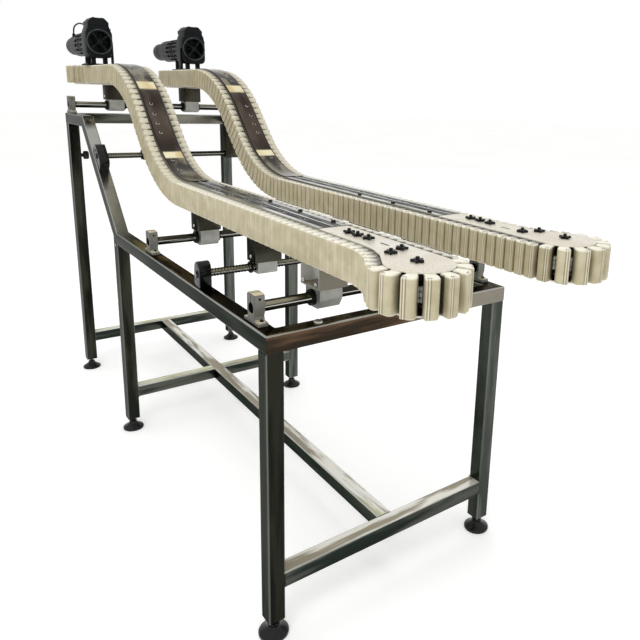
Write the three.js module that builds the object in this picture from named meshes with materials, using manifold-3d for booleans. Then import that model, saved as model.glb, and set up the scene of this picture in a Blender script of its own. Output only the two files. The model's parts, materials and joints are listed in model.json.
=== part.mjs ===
// Bottle gripper conveyor: two mirrored gripper-chain conveyors on one welded frame.
// Millimetres, +X to the right, +Y towards the drive end, +Z up.

import * as THREE from 'three';
import { mergeVertices } from 'three/addons/utils/BufferGeometryUtils.js';
import Module from 'manifold-3d';

const wasm = await Module();
wasm.setup();

// Frame sizes
const tube = 50;
const tubeCorner = 4;
const frameWidth = 850;
const frontBay = 1385;
const rearBay = 790;
const tableHeight = 905;
const railRise = 455;
const railSlopeRun = 478;
const stretcherTop = 202;
const legFootHeight = 52;

// Clearances and the overrun that every cut uses
const seatGap = 0.3;
const turnGap = 0.4;
const overrun = 6;

// Levelling foot sizes
const footRadius = 43;
const footRim = 8;
const footDomeHeight = 27;
const footCollarRadius = 17;
const footCollarHeight = 9;
const footStemRadius = 8;
const footStemReach = 60;
const footTravelUp = 12;

// Guide shaft sizes and places
const shaftRadius = 15;
const shaftHeight = 42;
const shaftOverhang = 4;
const frontShaftY = 108;
const rearShaftY = 980;
const topShaftInset = 33;
const supportBase = 84;
const supportBaseThickness = 11;
const supportColumn = 46;
const supportColumnTop = 41;
const supportThickness = 30;
const supportCorner = 6;

// Lead screw and bearing block sizes
const screwRadius = 12.5;
const screwJournalRadius = 9;
const screwEndReach = 5;
const tableScrewY = 480;
const tableScrewHeight = 42;
const tableBlockWidth = 46;
const tableBlockCrown = 40;
const tableBlockThickness = 38;
const slopeScrewAlong = 392;
const slopeScrewHeight = 30;
const slopeBlockLength = 120;
const slopeBlockThickness = 40;
const slopeBlockCrown = 24;
const slopeBlockHoleRadius = 7;
const slopeBlockHoleAlong = 34;

// Track sizes: each conveyor's path climbs through two bends
const beamOffset = 206;
const trackAboveTable = 200;
const trackAboveTop = 190;
const tailWheelY = -355;
const driveWheelY = 2470;
const lowerBendY = 1028;
const bendRadius = 554;
const trackAngle = Math.PI / 4;

// Chain and pad sizes
const chainPitch = 33.5;
const wheelTeeth = 14;
const runHalfWidth = 40;
const flareRadius = 254;
const padHalfHeight = 43;
const padReach = 42;
const padBase = 5;
const padRound = 9;
const padRoundLength = 9;
const padSideGap = 0.9;
const chainBack = 6;

// Beam, plates and cover sizes
const flangeOverlap = 5;
const flangeThickness = 4;
const flangeGap = 1.2;
const webWheelGap = 14;
const webNeckInset = 4;
const webNeckDepth = 9;
const tailPlateLength = 399;
const coverThickness = 3;
const coverHalfWidth = 40;
const coverLowerReach = 12;
const coverUpperReach = 14;

// Wheel sizes
const wheelHalfHeight = 15;
const wheelHubHalfHeight = 40;
const wheelHubRadius = 26;
const axleRadius = 12;
const toothDepth = 7;
const idlerRimInset = 4;
const driveShaftRadius = 14;
const driveShaftReach = 66;

// Drive sizes: the motor lies along Y, its gear housing stands over the drive wheel
const motorAxisRise = 162;
const motorFrontSetback = 242;
const fanCoverHalfWidth = 62;
const fanCoverDrop = 77;
const fanCoverCorner = 24;
const fanCoverShoulder = 40;
const fanCoverNeck = 48;
const fanCoverRise = 79;
const fanCoverLength = 96;
const fanCoverWall = 3;
const fanRoomRadius = 58;
const fanRoomDepth = 50;
const grilleRingRadius = 55;
const grilleRingWall = 4;
const grilleHubRadius = 14;
const grilleSlotCount = 4;
const grilleSlotShare = 0.84;
const statorRadius = 54;
const finRadius = 61;
const finCount = 16;
const finShare = 0.42;
const statorLength = 80;
const motorFlangeRadius = 58;
const motorFlangeThickness = 10;
const motorStubRadius = 8;
const fanRadius = 53;
const fanHubRadius = 18;
const fanDepth = 26;
const fanBackThickness = 4;
const fanBladeCount = 5;
const fanBladeThickness = 4;
const fanRoom = 9;
const lidHalfWidth = 48;
const lidLength = 112;
const lidThickness = 36;
const lidChamfer = 20;
const lidOverhang = 3;
const neckLength = 100;
const gearRibLength = 104;
const gearHousingRadius = 60;
const gearHousingLength = 132;
const gearNeckRadius = 42;
const gearNeckLength = 11;
const gearEndRadius = 49;
const gearEndLength = 124;
const gearPostRadius = 21;
const gearFootRadius = 40;
const gearFootThickness = 8;
const gearBoreReach = 72;
const glandOffset = 40;
const glandAlong = 88;
const glandRadius = 8;
const glandRise = 56;
const mountThickness = 8;
const mountHalfWidth = 60;
const mountFrontInset = 18;
const mountLength = 84;
const postInset = 18;
const postWidth = 20;
const postThickness = 20;
const sidePlateThickness = 6;
const sidePlateLength = 34;
const sidePlateRise = 108;
const leadRadius = 4;
const leadArch = 13;
const leadLoop = 26;
const leadDrop = 58;

// Carriage sizes
const carriageInset = 11;
const blockHalfWidth = 39;
const blockRise = 30;
const blockShoulder = 4;
const blockFoot = 24;
const blockDepth = 28;
const blockLength = 72;
const sealRadius = 23;
const sealLength = 11;
const bracketThickness = 5;
const frontBracketWidth = 92;
const frontBracketDepth = 100;
const boxBracketWidth = 92;
const boxBracketDepth = 62;
const topBracketDepth = 80;
const nutLength = 68;
const nutHalfWidth = 24;
const nutHalfHeight = 20;
const slopeBracketWidth = 60;
const slopeBracketDepth = 44;

// Facets
const barrelSides = 16;
const boreSides = 16;
const smallSides = 12;
const coverSides = 20;
const bendSteps = 8;
const wheelSteps = 8;
const flareSteps = 3;
const cornerSteps = 2;
const blockSteps = 3;
const crownSteps = 5;
const leadSides = 8;
const leadSteps = 12;
const chainInnerStride = 4;

// Places that follow from the sizes
const railX = frameWidth / 2 - tube / 2;
const topHeight = tableHeight + railRise;
const lowerTrackHeight = tableHeight + trackAboveTable;
const upperTrackHeight = topHeight + trackAboveTop;
const motorAxisHeight = upperTrackHeight + motorAxisRise;
const motorFrontY = driveWheelY - motorFrontSetback;
const middleLegY = frontBay;
const rearLegY = frontBay + rearBay;
const frameBackY = rearLegY + tube;
const railSlope = Math.atan2(topHeight - tableHeight, railSlopeRun);
const shaftZ = tableHeight + shaftHeight;
const topShaftZ = topHeight + shaftHeight;
const topShaftY = frameBackY - topShaftInset;
const tableScrewZ = tableHeight + tableScrewHeight;
const slopeFoot = new THREE.Vector2(middleLegY, tableHeight);
const slopeAlong = new THREE.Vector2(Math.cos(railSlope), Math.sin(railSlope));
const slopeUp = new THREE.Vector2(-Math.sin(railSlope), Math.cos(railSlope));
const slopeScrew = slopeFoot.clone()
  .addScaledVector(slopeAlong, slopeScrewAlong)
  .addScaledVector(slopeUp, slopeScrewHeight);

const lowerRun = lowerBendY - tailWheelY;
const bendRise = bendRadius * (1 - Math.cos(trackAngle));
const slopeLength = (upperTrackHeight - lowerTrackHeight - 2 * bendRise) / Math.sin(trackAngle);
const upperBendEndY = lowerBendY + 2 * bendRadius * Math.sin(trackAngle)
  + slopeLength * Math.cos(trackAngle);
const upperRun = driveWheelY - upperBendEndY;
const bendLength = bendRadius * trackAngle;
const trackLength = lowerRun + 2 * bendLength + slopeLength + upperRun;

const wheelRadius = chainPitch / (2 * Math.sin(Math.PI / wheelTeeth));
const wheelV = runHalfWidth - wheelRadius;
const flareCentreV = -runHalfWidth - flareRadius;
const flareAngle = Math.acos((wheelV - flareCentreV) / (wheelRadius + flareRadius));
const flareLength = (wheelRadius + flareRadius) * Math.sin(flareAngle);
const wheelX = -beamOffset + wheelV;
const carriageX = -beamOffset + carriageInset;
const chainInnerRadius = (wheelRadius - chainBack) * Math.cos(Math.PI / wheelTeeth);

const flangeInner = padHalfHeight + flangeGap;
const flangeOuter = flangeInner + flangeThickness;
const webHalf = runHalfWidth - chainBack - seatGap;
const webStart = chainInnerRadius + webWheelGap;
const drivePlateTop = upperTrackHeight + flangeOuter;
const beamUnderside = lowerTrackHeight - flangeOuter;
const upperUnderside = upperTrackHeight - flangeOuter;

const statorStartY = motorFrontY + fanCoverLength;
const motorEndY = statorStartY + statorLength + motorFlangeThickness;
const gearFrontY = motorEndY + seatGap;
const gearHousingY = gearFrontY + gearRibLength;
const gearNeckY = gearHousingY + gearHousingLength;
const gearEndY = gearNeckY + gearNeckLength;
const partEndY = gearEndY + gearEndLength;
const glandY = gearHousingY + glandAlong;
const lidFrontY = motorFrontY - lidOverhang;
const lidBaseZ = motorAxisHeight + fanCoverRise;
const mountTop = drivePlateTop + seatGap + mountThickness;

// Solids: closed meshes in, joined or cut, closed meshes out
function clean(geometry) {
  const bare = geometry.clone();
  bare.deleteAttribute('normal');
  bare.deleteAttribute('uv');
  return mergeVertices(bare);
}

function toSolid(geometry) {
  const merged = clean(geometry);
  const vertProperties = Float32Array.from(merged.attributes.position.array);
  const triVerts = Uint32Array.from(merged.index.array);
  return new wasm.Manifold(new wasm.Mesh({ numProp: 3, vertProperties, triVerts }));
}

function fromSolid(solid) {
  const mesh = solid.getMesh();
  const geometry = new THREE.BufferGeometry();
  geometry.setAttribute('position', new THREE.BufferAttribute(mesh.vertProperties, mesh.numProp));
  geometry.setIndex(new THREE.BufferAttribute(mesh.triVerts, 1));
  return geometry;
}

function join(...geometries) {
  return fromSolid(geometries.map(toSolid).reduce((sum, next) => sum.add(next)));
}

function cut(geometry, ...tools) {
  return fromSolid(tools.map(toSolid).reduce((rest, next) => rest.subtract(next), toSolid(geometry)));
}

// Basic forms
function block(x0, x1, y0, y1, z0, z1) {
  const form = new THREE.BoxGeometry(x1 - x0, y1 - y0, z1 - z0);
  return form.translate((x0 + x1) / 2, (y0 + y1) / 2, (z0 + z1) / 2);
}

function drum(radius, length, sides = barrelSides) {
  // A cylinder along +Z that starts at the origin
  const form = new THREE.CylinderGeometry(radius, radius, length, sides);
  return form.rotateX(Math.PI / 2).translate(0, 0, length / 2);
}

function drumAlongX(radius, x0, x1, y, z, sides = barrelSides) {
  return drum(radius, x1 - x0, sides).rotateY(Math.PI / 2).translate(x0, y, z);
}

function drumAlongY(radius, y0, y1, x, z, sides = barrelSides) {
  return drum(radius, y1 - y0, sides).rotateX(-Math.PI / 2).translate(x, y0, z);
}

function drumAlongZ(radius, z0, z1, x, y, sides = barrelSides) {
  return drum(radius, z1 - z0, sides).translate(x, y, z0);
}

function outline(points) {
  return new THREE.Shape(points.map(([x, y]) => new THREE.Vector2(x, y)));
}

function circleHole(x, y, radius, sides) {
  const hole = new THREE.Path();
  for (let i = 0; i < sides; i += 1) {
    const angle = (-2 * Math.PI * i) / sides;
    const point = [x + radius * Math.cos(angle), y + radius * Math.sin(angle)];
    if (i === 0) hole.moveTo(...point);
    else hole.lineTo(...point);
  }
  return hole;
}

function prism(points, depth, holes = []) {
  const shape = outline(points);
  shape.holes.push(...holes);
  return new THREE.ExtrudeGeometry(shape, { depth, bevelEnabled: false });
}

function prismAlongX(points, x0, x1, holes = []) {
  // The outline's points are (y, z)
  const turned = new THREE.Matrix4().makeBasis(
    new THREE.Vector3(0, 1, 0),
    new THREE.Vector3(0, 0, 1),
    new THREE.Vector3(1, 0, 0),
  );
  return prism(points, x1 - x0, holes).applyMatrix4(turned).translate(x0, 0, 0);
}

function prismAlongY(points, y0, y1, holes = []) {
  // The outline's points are (x, z)
  const turned = new THREE.Matrix4().makeBasis(
    new THREE.Vector3(-1, 0, 0),
    new THREE.Vector3(0, 0, 1),
    new THREE.Vector3(0, 1, 0),
  );
  const flipped = points.map(([x, z]) => [-x, z]).reverse();
  return prism(flipped, y1 - y0, holes).applyMatrix4(turned).translate(0, y0, 0);
}

function prismAlongZ(points, z0, z1, holes = []) {
  return prism(points, z1 - z0, holes).translate(0, 0, z0);
}

function arcPoints(x, y, radius, from, to, steps) {
  const points = [];
  for (let i = 0; i <= steps; i += 1) {
    const angle = from + ((to - from) * i) / steps;
    points.push([x + radius * Math.cos(angle), y + radius * Math.sin(angle)]);
  }
  return points;
}

function roundedRectangle(x0, x1, y0, y1, corner, steps = cornerSteps) {
  const quarter = Math.PI / 2;
  return [
    ...arcPoints(x1 - corner, y0 + corner, corner, -quarter, 0, steps),
    ...arcPoints(x1 - corner, y1 - corner, corner, 0, quarter, steps),
    ...arcPoints(x0 + corner, y1 - corner, corner, quarter, 2 * quarter, steps),
    ...arcPoints(x0 + corner, y0 + corner, corner, 2 * quarter, 3 * quarter, steps),
  ];
}

function mirrored(geometry) {
  // The same piece for the right-hand conveyor, with its faces still pointing out
  const copy = clean(geometry);
  const position = copy.attributes.position;
  for (let i = 0; i < position.count; i += 1) position.setX(i, -position.getX(i));
  const index = copy.index.array;
  for (let i = 0; i < index.length; i += 3) {
    [index[i], index[i + 1]] = [index[i + 1], index[i]];
  }
  return copy;
}

// Square tube of the frame
const half = tube / 2;

function tubeSection() {
  return roundedRectangle(-half, half, -half, half, tubeCorner);
}

function tubeAlongX(x0, x1, y, z) {
  return prismAlongX(tubeSection(), x0, x1).translate(0, y, z);
}

function tubeAlongY(y0, y1, x, z) {
  return prismAlongY(tubeSection(), y0, y1).translate(x, 0, z);
}

function tubeAlongZ(z0, z1, x, y) {
  return prismAlongZ(tubeSection(), z0, z1).translate(x, y, 0);
}

function footBore(x, y) {
  const reach = footStemReach + footTravelUp + seatGap;
  return drumAlongZ(
    footStemRadius + turnGap,
    legFootHeight - overrun,
    legFootHeight + reach,
    x,
    y,
    smallSides,
  );
}

function legPair(y, top) {
  return [-railX, railX].map((x) => tubeAlongZ(legFootHeight, top, x, y));
}

function footBores(y) {
  return [-railX, railX].map((x) => footBore(x, y));
}

function stretcher(y) {
  const reach = railX - half + overrun;
  return tubeAlongX(-reach, reach, y, stretcherTop - half);
}

// Front legs with the mitred table rail
function mitreWedge(side, z0) {
  // The corner that belongs to the side rail, behind the mitre line
  const corner = frameWidth / 2;
  const points = [
    [-corner - overrun, -overrun],
    [-corner + tube + overrun, tube + overrun],
    [-corner - overrun, tube + overrun],
  ];
  const wedge = prismAlongZ(points, z0, tableHeight + overrun);
  return side < 0 ? wedge : mirrored(wedge);
}

function frontLegFrame() {
  const top = tableHeight - tube;
  const rail = tubeAlongX(-frameWidth / 2, frameWidth / 2, half, tableHeight - half);
  const body = join(...legPair(half, top + overrun), rail, stretcher(half));
  return cut(body, mitreWedge(-1, top - seatGap), mitreWedge(1, top - seatGap), ...footBores(half));
}

// Middle legs, cut under the bend of the side rails, with the long centre bar
function middleLegFrame() {
  const y = middleLegY + half;
  const bendY = middleLegY + tube * Math.tan(railSlope / 2);
  const underside = tableHeight - tube - seatGap;
  const top = tableHeight + overrun;
  const above = prismAlongX([
    [middleLegY - overrun, underside],
    [bendY, underside],
    [bendY + (top - underside) / Math.tan(railSlope), top],
    [middleLegY - overrun, top],
  ], -frameWidth, frameWidth);
  const centreBar = tubeAlongY(tube + seatGap, rearLegY - seatGap, 0, stretcherTop - half);
  const body = join(...legPair(y, tableHeight), stretcher(y), centreBar);
  return cut(body, above, ...footBores(y));
}

// Rear legs with the crossbar on top
function rearLegFrame() {
  const y = rearLegY + half;
  const crossbar = tubeAlongX(-frameWidth / 2, frameWidth / 2, y, topHeight - half);
  const body = join(...legPair(y, topHeight - tube + overrun), crossbar, stretcher(y));
  return cut(body, ...footBores(y));
}

// Side rail: table rail, slope rail and short top rail, mitred where they meet
function sideRail() {
  const mitre = 1 / Math.cos(railSlope / 2);
  const bend = [-Math.sin(railSlope / 2) * mitre, Math.cos(railSlope / 2) * mitre];
  const stations = [
    [0, tableHeight, 0, 1],
    [middleLegY, tableHeight, ...bend],
    [middleLegY + railSlopeRun, topHeight, ...bend],
    [rearLegY - seatGap, topHeight, 0, 1],
  ];
  const section = tubeSection();
  const positions = [];
  stations.forEach(([y, z, ny, nz]) => {
    section.forEach(([a, b]) => {
      const h = b - half;
      positions.push(a, y + h * ny, z + h * nz);
    });
  });
  const rail = loft(positions, section.length);
  const front = [
    [-half - overrun, -overrun + seatGap],
    [half + overrun, tube + overrun + seatGap],
    [half + overrun, -overrun],
    [-half - overrun, -overrun],
  ].reverse();
  const wedge = prismAlongZ(front, tableHeight - tube - overrun, tableHeight + overrun);
  return cut(rail, wedge).translate(-railX, 0, 0);
}

function loft(positions, count) {
  // Rings of equal point count, in order along the piece, closed by flat ends
  const rings = positions.length / (3 * count);
  const index = [];
  for (let r = 0; r + 1 < rings; r += 1) {
    for (let i = 0; i < count; i += 1) {
      const next = (i + 1) % count;
      const [a, b] = [r * count + i, r * count + next];
      const [c, d] = [a + count, b + count];
      index.push(a, c, b, b, c, d);
    }
  }
  const last = (rings - 1) * count;
  for (let i = 1; i + 1 < count; i += 1) {
    index.push(0, i, i + 1);
    index.push(last, last + i + 1, last + i);
  }
  const geometry = new THREE.BufferGeometry();
  geometry.setAttribute('position', new THREE.Float32BufferAttribute(positions, 3));
  geometry.setIndex(index);
  return faceOut(geometry);
}

function faceOut(geometry) {
  // Turns a closed mesh whose faces all point in
  const position = geometry.attributes.position;
  const index = geometry.index.array;
  const [a, b, c] = [new THREE.Vector3(), new THREE.Vector3(), new THREE.Vector3()];
  let volume = 0;
  for (let i = 0; i < index.length; i += 3) {
    a.fromBufferAttribute(position, index[i]);
    b.fromBufferAttribute(position, index[i + 1]);
    c.fromBufferAttribute(position, index[i + 2]);
    volume += a.dot(b.cross(c));
  }
  if (volume < 0) {
    for (let i = 0; i < index.length; i += 3) {
      [index[i], index[i + 1]] = [index[i + 1], index[i]];
    }
  }
  return geometry;
}

// Levelling foot: mushroom base, hexagon collar and stem
function levellingFoot(x, y) {
  const collarTop = footDomeHeight + footCollarHeight;
  const profile = [
    [0, 0],
    [footRadius, 0],
    [footRadius, footRim],
    [footCollarRadius, footDomeHeight],
    [footCollarRadius, collarTop],
    [footStemRadius, collarTop],
    [footStemRadius, legFootHeight + footStemReach],
    [0, legFootHeight + footStemReach],
  ];
  const points = profile.map(([r, z]) => new THREE.Vector2(r, z));
  return new THREE.LatheGeometry(points, smallSides).rotateX(Math.PI / 2).translate(x, y, 0);
}

// Guide shafts and their supports
function guideShaft(y, z) {
  const reach = railX + supportThickness / 2 + shaftOverhang;
  return drumAlongX(shaftRadius, -reach, reach, y, z);
}

function shaftSupport(side, y, z) {
  const base = z - shaftHeight + seatGap;
  const foot = base + supportBaseThickness;
  const top = z + supportColumnTop;
  const [wide, narrow] = [supportBase / 2, supportColumn / 2];
  const points = [
    [-wide, base],
    [wide, base],
    [wide, foot],
    [narrow, foot],
    [narrow, top - supportCorner],
    [narrow - supportCorner, top],
    [supportCorner - narrow, top],
    [-narrow, top - supportCorner],
    [-narrow, foot],
    [-wide, foot],
  ];
  const hole = circleHole(0, z, shaftRadius + seatGap, boreSides);
  const x = side * railX;
  const body = prismAlongX(points, x - supportThickness / 2, x + supportThickness / 2, [hole]);
  return body.translate(0, y, 0);
}

// Lead screws and their bearing blocks
function leadScrew(y, z, thickness) {
  const shoulder = railX - thickness / 2 - turnGap;
  const reach = railX + thickness / 2 + screwEndReach;
  return join(
    drumAlongX(screwRadius, -shoulder, shoulder, y, z),
    drumAlongX(screwJournalRadius, -reach, reach, y, z, smallSides),
  );
}

function tableScrewBlock(side) {
  const base = tableHeight + seatGap;
  const radius = tableBlockWidth / 2;
  const crownZ = tableScrewZ + tableBlockCrown - radius;
  const points = [
    [-radius, base],
    [radius, base],
    ...arcPoints(0, crownZ, radius, 0, Math.PI, crownSteps),
  ];
  const hole = circleHole(0, tableScrewZ, screwJournalRadius + turnGap, boreSides);
  const x = side * railX;
  const [x0, x1] = [x - tableBlockThickness / 2, x + tableBlockThickness / 2];
  return prismAlongX(points, x0, x1, [hole]).translate(0, tableScrewY, 0);
}

function slopeScrewBlock(side) {
  const wide = slopeBlockLength / 2 - slopeBlockCrown;
  const base = seatGap - slopeScrewHeight;
  const points = [
    [-wide - slopeBlockCrown, base],
    [wide + slopeBlockCrown, base],
    ...arcPoints(wide, 0, slopeBlockCrown, 0, Math.PI / 2, blockSteps),
    ...arcPoints(-wide, 0, slopeBlockCrown, Math.PI / 2, Math.PI, blockSteps),
  ];
  const holes = [
    circleHole(0, 0, screwJournalRadius + turnGap, boreSides),
    circleHole(slopeBlockHoleAlong, 0, slopeBlockHoleRadius, smallSides),
  ];
  const x = side * railX;
  const [x0, x1] = [x - slopeBlockThickness / 2, x + slopeBlockThickness / 2];
  return prismAlongX(points, x0, x1, holes)
    .rotateX(railSlope)
    .translate(0, slopeScrew.x, slopeScrew.y);
}

// The track: u runs along it from the tail wheel, h is the height square to it
function trackPoint(u) {
  const lowerBendEnd = lowerRun + bendLength;
  const upperBendStart = lowerBendEnd + slopeLength;
  const upperBendEnd = upperBendStart + bendLength;
  const bendReach = bendRadius * Math.sin(trackAngle);
  const [cos, sin] = [Math.cos(trackAngle), Math.sin(trackAngle)];
  if (u <= lowerRun) return { y: tailWheelY + u, z: lowerTrackHeight, angle: 0 };
  if (u <= lowerBendEnd) {
    const angle = (u - lowerRun) / bendRadius;
    return {
      y: lowerBendY + bendRadius * Math.sin(angle),
      z: lowerTrackHeight + bendRadius * (1 - Math.cos(angle)),
      angle,
    };
  }
  if (u <= upperBendStart) {
    const along = u - lowerBendEnd;
    return {
      y: lowerBendY + bendReach + along * cos,
      z: lowerTrackHeight + bendRise + along * sin,
      angle: trackAngle,
    };
  }
  if (u <= upperBendEnd) {
    const angle = (upperBendEnd - u) / bendRadius;
    return {
      y: upperBendEndY - bendRadius * Math.sin(angle),
      z: upperTrackHeight - bendRadius * (1 - Math.cos(angle)),
      angle,
    };
  }
  return { y: upperBendEndY + u - upperBendEnd, z: upperTrackHeight, angle: 0 };
}

function onTrack(u, v, h) {
  const { y, z, angle } = trackPoint(u);
  return [-beamOffset + v, y - h * Math.sin(angle), z + h * Math.cos(angle)];
}

function climbs(u) {
  // True where the track bends, and for one link before it
  const upperStart = lowerRun + bendLength + slopeLength;
  const reach = bendLength + chainPitch;
  return [lowerRun, upperStart].some((start) => u > start - chainPitch && u < start + reach);
}

function bendStations() {
  const stations = [];
  for (let i = 0; i <= bendSteps; i += 1) stations.push(lowerRun + (bendLength * i) / bendSteps);
  const upperStart = lowerRun + bendLength + slopeLength;
  for (let i = 0; i <= bendSteps; i += 1) stations.push(upperStart + (bendLength * i) / bendSteps);
  return stations;
}

// Plan edges of the flared ends, at an offset outside the chain's pitch line
function endStations(offset) {
  // Distances from the wheel's centre towards the straight run, tip first
  const radius = wheelRadius + offset;
  const stations = [];
  for (let i = 0; i <= wheelSteps; i += 1) {
    stations.push(-radius * Math.cos((i * (Math.PI / 2 + flareAngle)) / wheelSteps));
  }
  for (let i = 1; i <= flareSteps; i += 1) {
    const angle = flareAngle * (1 - i / flareSteps);
    stations.push(flareLength - (flareRadius - offset) * Math.sin(angle));
  }
  return stations;
}

function outerEdge(d, offset) {
  const radius = wheelRadius + offset;
  const meeting = radius * Math.sin(flareAngle);
  if (d <= meeting) return wheelV - Math.sqrt(Math.max(0, radius * radius - d * d));
  if (d >= flareLength) return -runHalfWidth - offset;
  const across = flareRadius - offset;
  return flareCentreV + Math.sqrt(across * across - (flareLength - d) ** 2);
}

function laneEdge(d, offset) {
  const radius = wheelRadius + offset;
  if (d >= 0) return runHalfWidth + offset;
  return wheelV + Math.sqrt(Math.max(0, radius * radius - d * d));
}

function ribbon(stations, h0, h1) {
  // A strip along the track between two plan edges; a strip may end in a point
  const positions = [];
  stations.forEach(([u, lo, hi]) => {
    [[lo, h0], [hi, h0], [hi, h1], [lo, h1]].forEach(([v, h]) => positions.push(...onTrack(u, v, h)));
  });
  const geometry = clean(loft(positions, 4));
  const index = geometry.index.array;
  const kept = [];
  for (let i = 0; i < index.length; i += 3) {
    const [a, b, c] = [index[i], index[i + 1], index[i + 2]];
    if (a !== b && b !== c && c !== a) kept.push(a, b, c);
  }
  geometry.setIndex(kept);
  return geometry;
}

function tailStations(offset, reach) {
  const near = endStations(offset).map((d) => [d, outerEdge(d, offset), laneEdge(d, offset)]);
  return [...near, [reach, -runHalfWidth - offset, runHalfWidth + offset]];
}

function driveStations(offset, reach) {
  return tailStations(offset, reach).reverse().map(([d, lo, hi]) => [trackLength - d, lo, hi]);
}

function evenStations(from, to, halfWidth) {
  const inner = bendStations().filter((u) => u > from && u < to);
  return [from, ...inner, to].map((u) => [u, -halfWidth, halfWidth]);
}

// Beam with its drive-end plates; the tail's upper side is left to the idler plate
function trackBeam() {
  const edge = runHalfWidth + flangeOverlap;
  const bends = evenStations(lowerRun, trackLength - upperRun, edge);
  const underStations = [
    ...tailStations(flangeOverlap, tailPlateLength),
    ...bends,
    ...driveStations(flangeOverlap, tailPlateLength),
  ];
  const upperStations = [
    [tailPlateLength + seatGap, -edge, edge],
    ...bends,
    ...driveStations(flangeOverlap, tailPlateLength),
  ];
  const middle = flangeInner + flangeThickness / 2;
  const webEnd = trackLength - webStart;
  const under = ribbon(underStations, -flangeOuter, -flangeInner);
  const upper = ribbon(upperStations, flangeInner, flangeOuter);
  const web = ribbon(evenStations(webStart, webEnd, webHalf), -middle, flangeInner - seatGap);
  const neckStart = tailPlateLength + seatGap + webNeckInset;
  const neck = ribbon(
    evenStations(neckStart, webEnd - webNeckInset, webHalf - webNeckInset),
    flangeInner - webNeckDepth,
    middle,
  );
  const shaftHole = drumAlongZ(
    driveShaftRadius + turnGap,
    upperTrackHeight + flangeInner - overrun,
    drivePlateTop + overrun,
    wheelX,
    driveWheelY,
    boreSides,
  );
  const axleSeat = drumAlongZ(
    axleRadius + seatGap,
    lowerTrackHeight - flangeOuter - overrun,
    lowerTrackHeight - flangeInner + overrun,
    wheelX,
    tailWheelY,
    boreSides,
  );
  return cut(join(under, web, neck, upper), shaftHole, axleSeat);
}

// Idler plate: flared top plate with the axle below it
function idlerPlate() {
  const plate = ribbon(tailStations(flangeOverlap, tailPlateLength), flangeInner, flangeOuter);
  const axle = drumAlongZ(
    axleRadius,
    lowerTrackHeight - flangeOuter,
    lowerTrackHeight + flangeInner + flangeThickness / 2,
    wheelX,
    tailWheelY,
    boreSides,
  );
  return join(plate, axle);
}

// Sheet cover over the slope, bent with the track
function slopeCover() {
  const from = lowerRun - coverLowerReach;
  const to = trackLength - upperRun + coverUpperReach;
  const base = flangeOuter + seatGap;
  return ribbon(evenStations(from, to, coverHalfWidth), base, base + coverThickness);
}

// Plan loop of the chain's pitch line: straights, wheels and flares in turn
function loopPieces() {
  const wheelTurn = Math.PI + flareAngle;
  const pieces = [
    { length: trackLength, bend: 0 },
    { length: wheelTurn * wheelRadius, bend: -1 / wheelRadius },
    { length: flareAngle * flareRadius, bend: 1 / flareRadius },
    { length: trackLength - 2 * flareLength, bend: 0 },
    { length: flareAngle * flareRadius, bend: 1 / flareRadius },
    { length: wheelTurn * wheelRadius, bend: -1 / wheelRadius },
  ];
  let [u, v, heading, start] = [0, runHalfWidth, 0, 0];
  pieces.forEach((piece) => {
    Object.assign(piece, { u, v, heading, start });
    const end = alongPiece(piece, piece.length);
    [u, v, heading, start] = [end.u, end.v, end.heading, start + piece.length];
  });
  return pieces;
}

function alongPiece(piece, distance) {
  const { u, v, heading, bend } = piece;
  if (bend === 0) {
    return {
      u: u + distance * Math.cos(heading),
      v: v + distance * Math.sin(heading),
      heading,
      bend,
    };
  }
  const turned = heading + bend * distance;
  return {
    u: u + (Math.sin(turned) - Math.sin(heading)) / bend,
    v: v - (Math.cos(turned) - Math.cos(heading)) / bend,
    heading: turned,
    bend,
  };
}

function chainJoints() {
  // The pins of the chain, evenly spaced round the loop
  const pieces = loopPieces();
  const loopLength = pieces.reduce((sum, piece) => sum + piece.length, 0);
  const count = Math.round(loopLength / chainPitch);
  const joints = [];
  for (let i = 0; i < count; i += 1) {
    const along = (loopLength * i) / count;
    const piece = pieces.findLast((candidate) => candidate.start <= along);
    joints.push(alongPiece(piece, along - piece.start));
  }
  return joints;
}

function offsetPoint(joint, offset) {
  return [joint.u - offset * Math.sin(joint.heading), joint.v + offset * Math.cos(joint.heading)];
}

function padPoints(from, to) {
  // Lip, face end and shoulder of the pad on the link between two pins.
  // Rubber is squeezed where the chain bends towards its pads.
  const length = Math.hypot(to.u - from.u, to.v - from.v);
  const along = [(to.u - from.u) / length, (to.v - from.v) / length];
  const out = [-along[1], along[0]];
  const middle = [(from.u + to.u) / 2, (from.v + to.v) / 2];
  const squeeze = Math.max(0, from.bend, to.bend);
  const end = length / 2 - padSideGap;
  const corners = [
    [-end, padReach],
    [end - padRoundLength, padReach],
    [end, padReach - padRound],
  ];
  return corners.map(([t, o]) => {
    const drawn = t * (1 - squeeze * o);
    return [
      middle[0] + drawn * along[0] + o * out[0],
      middle[1] + drawn * along[1] + o * out[1],
    ];
  });
}

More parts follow.
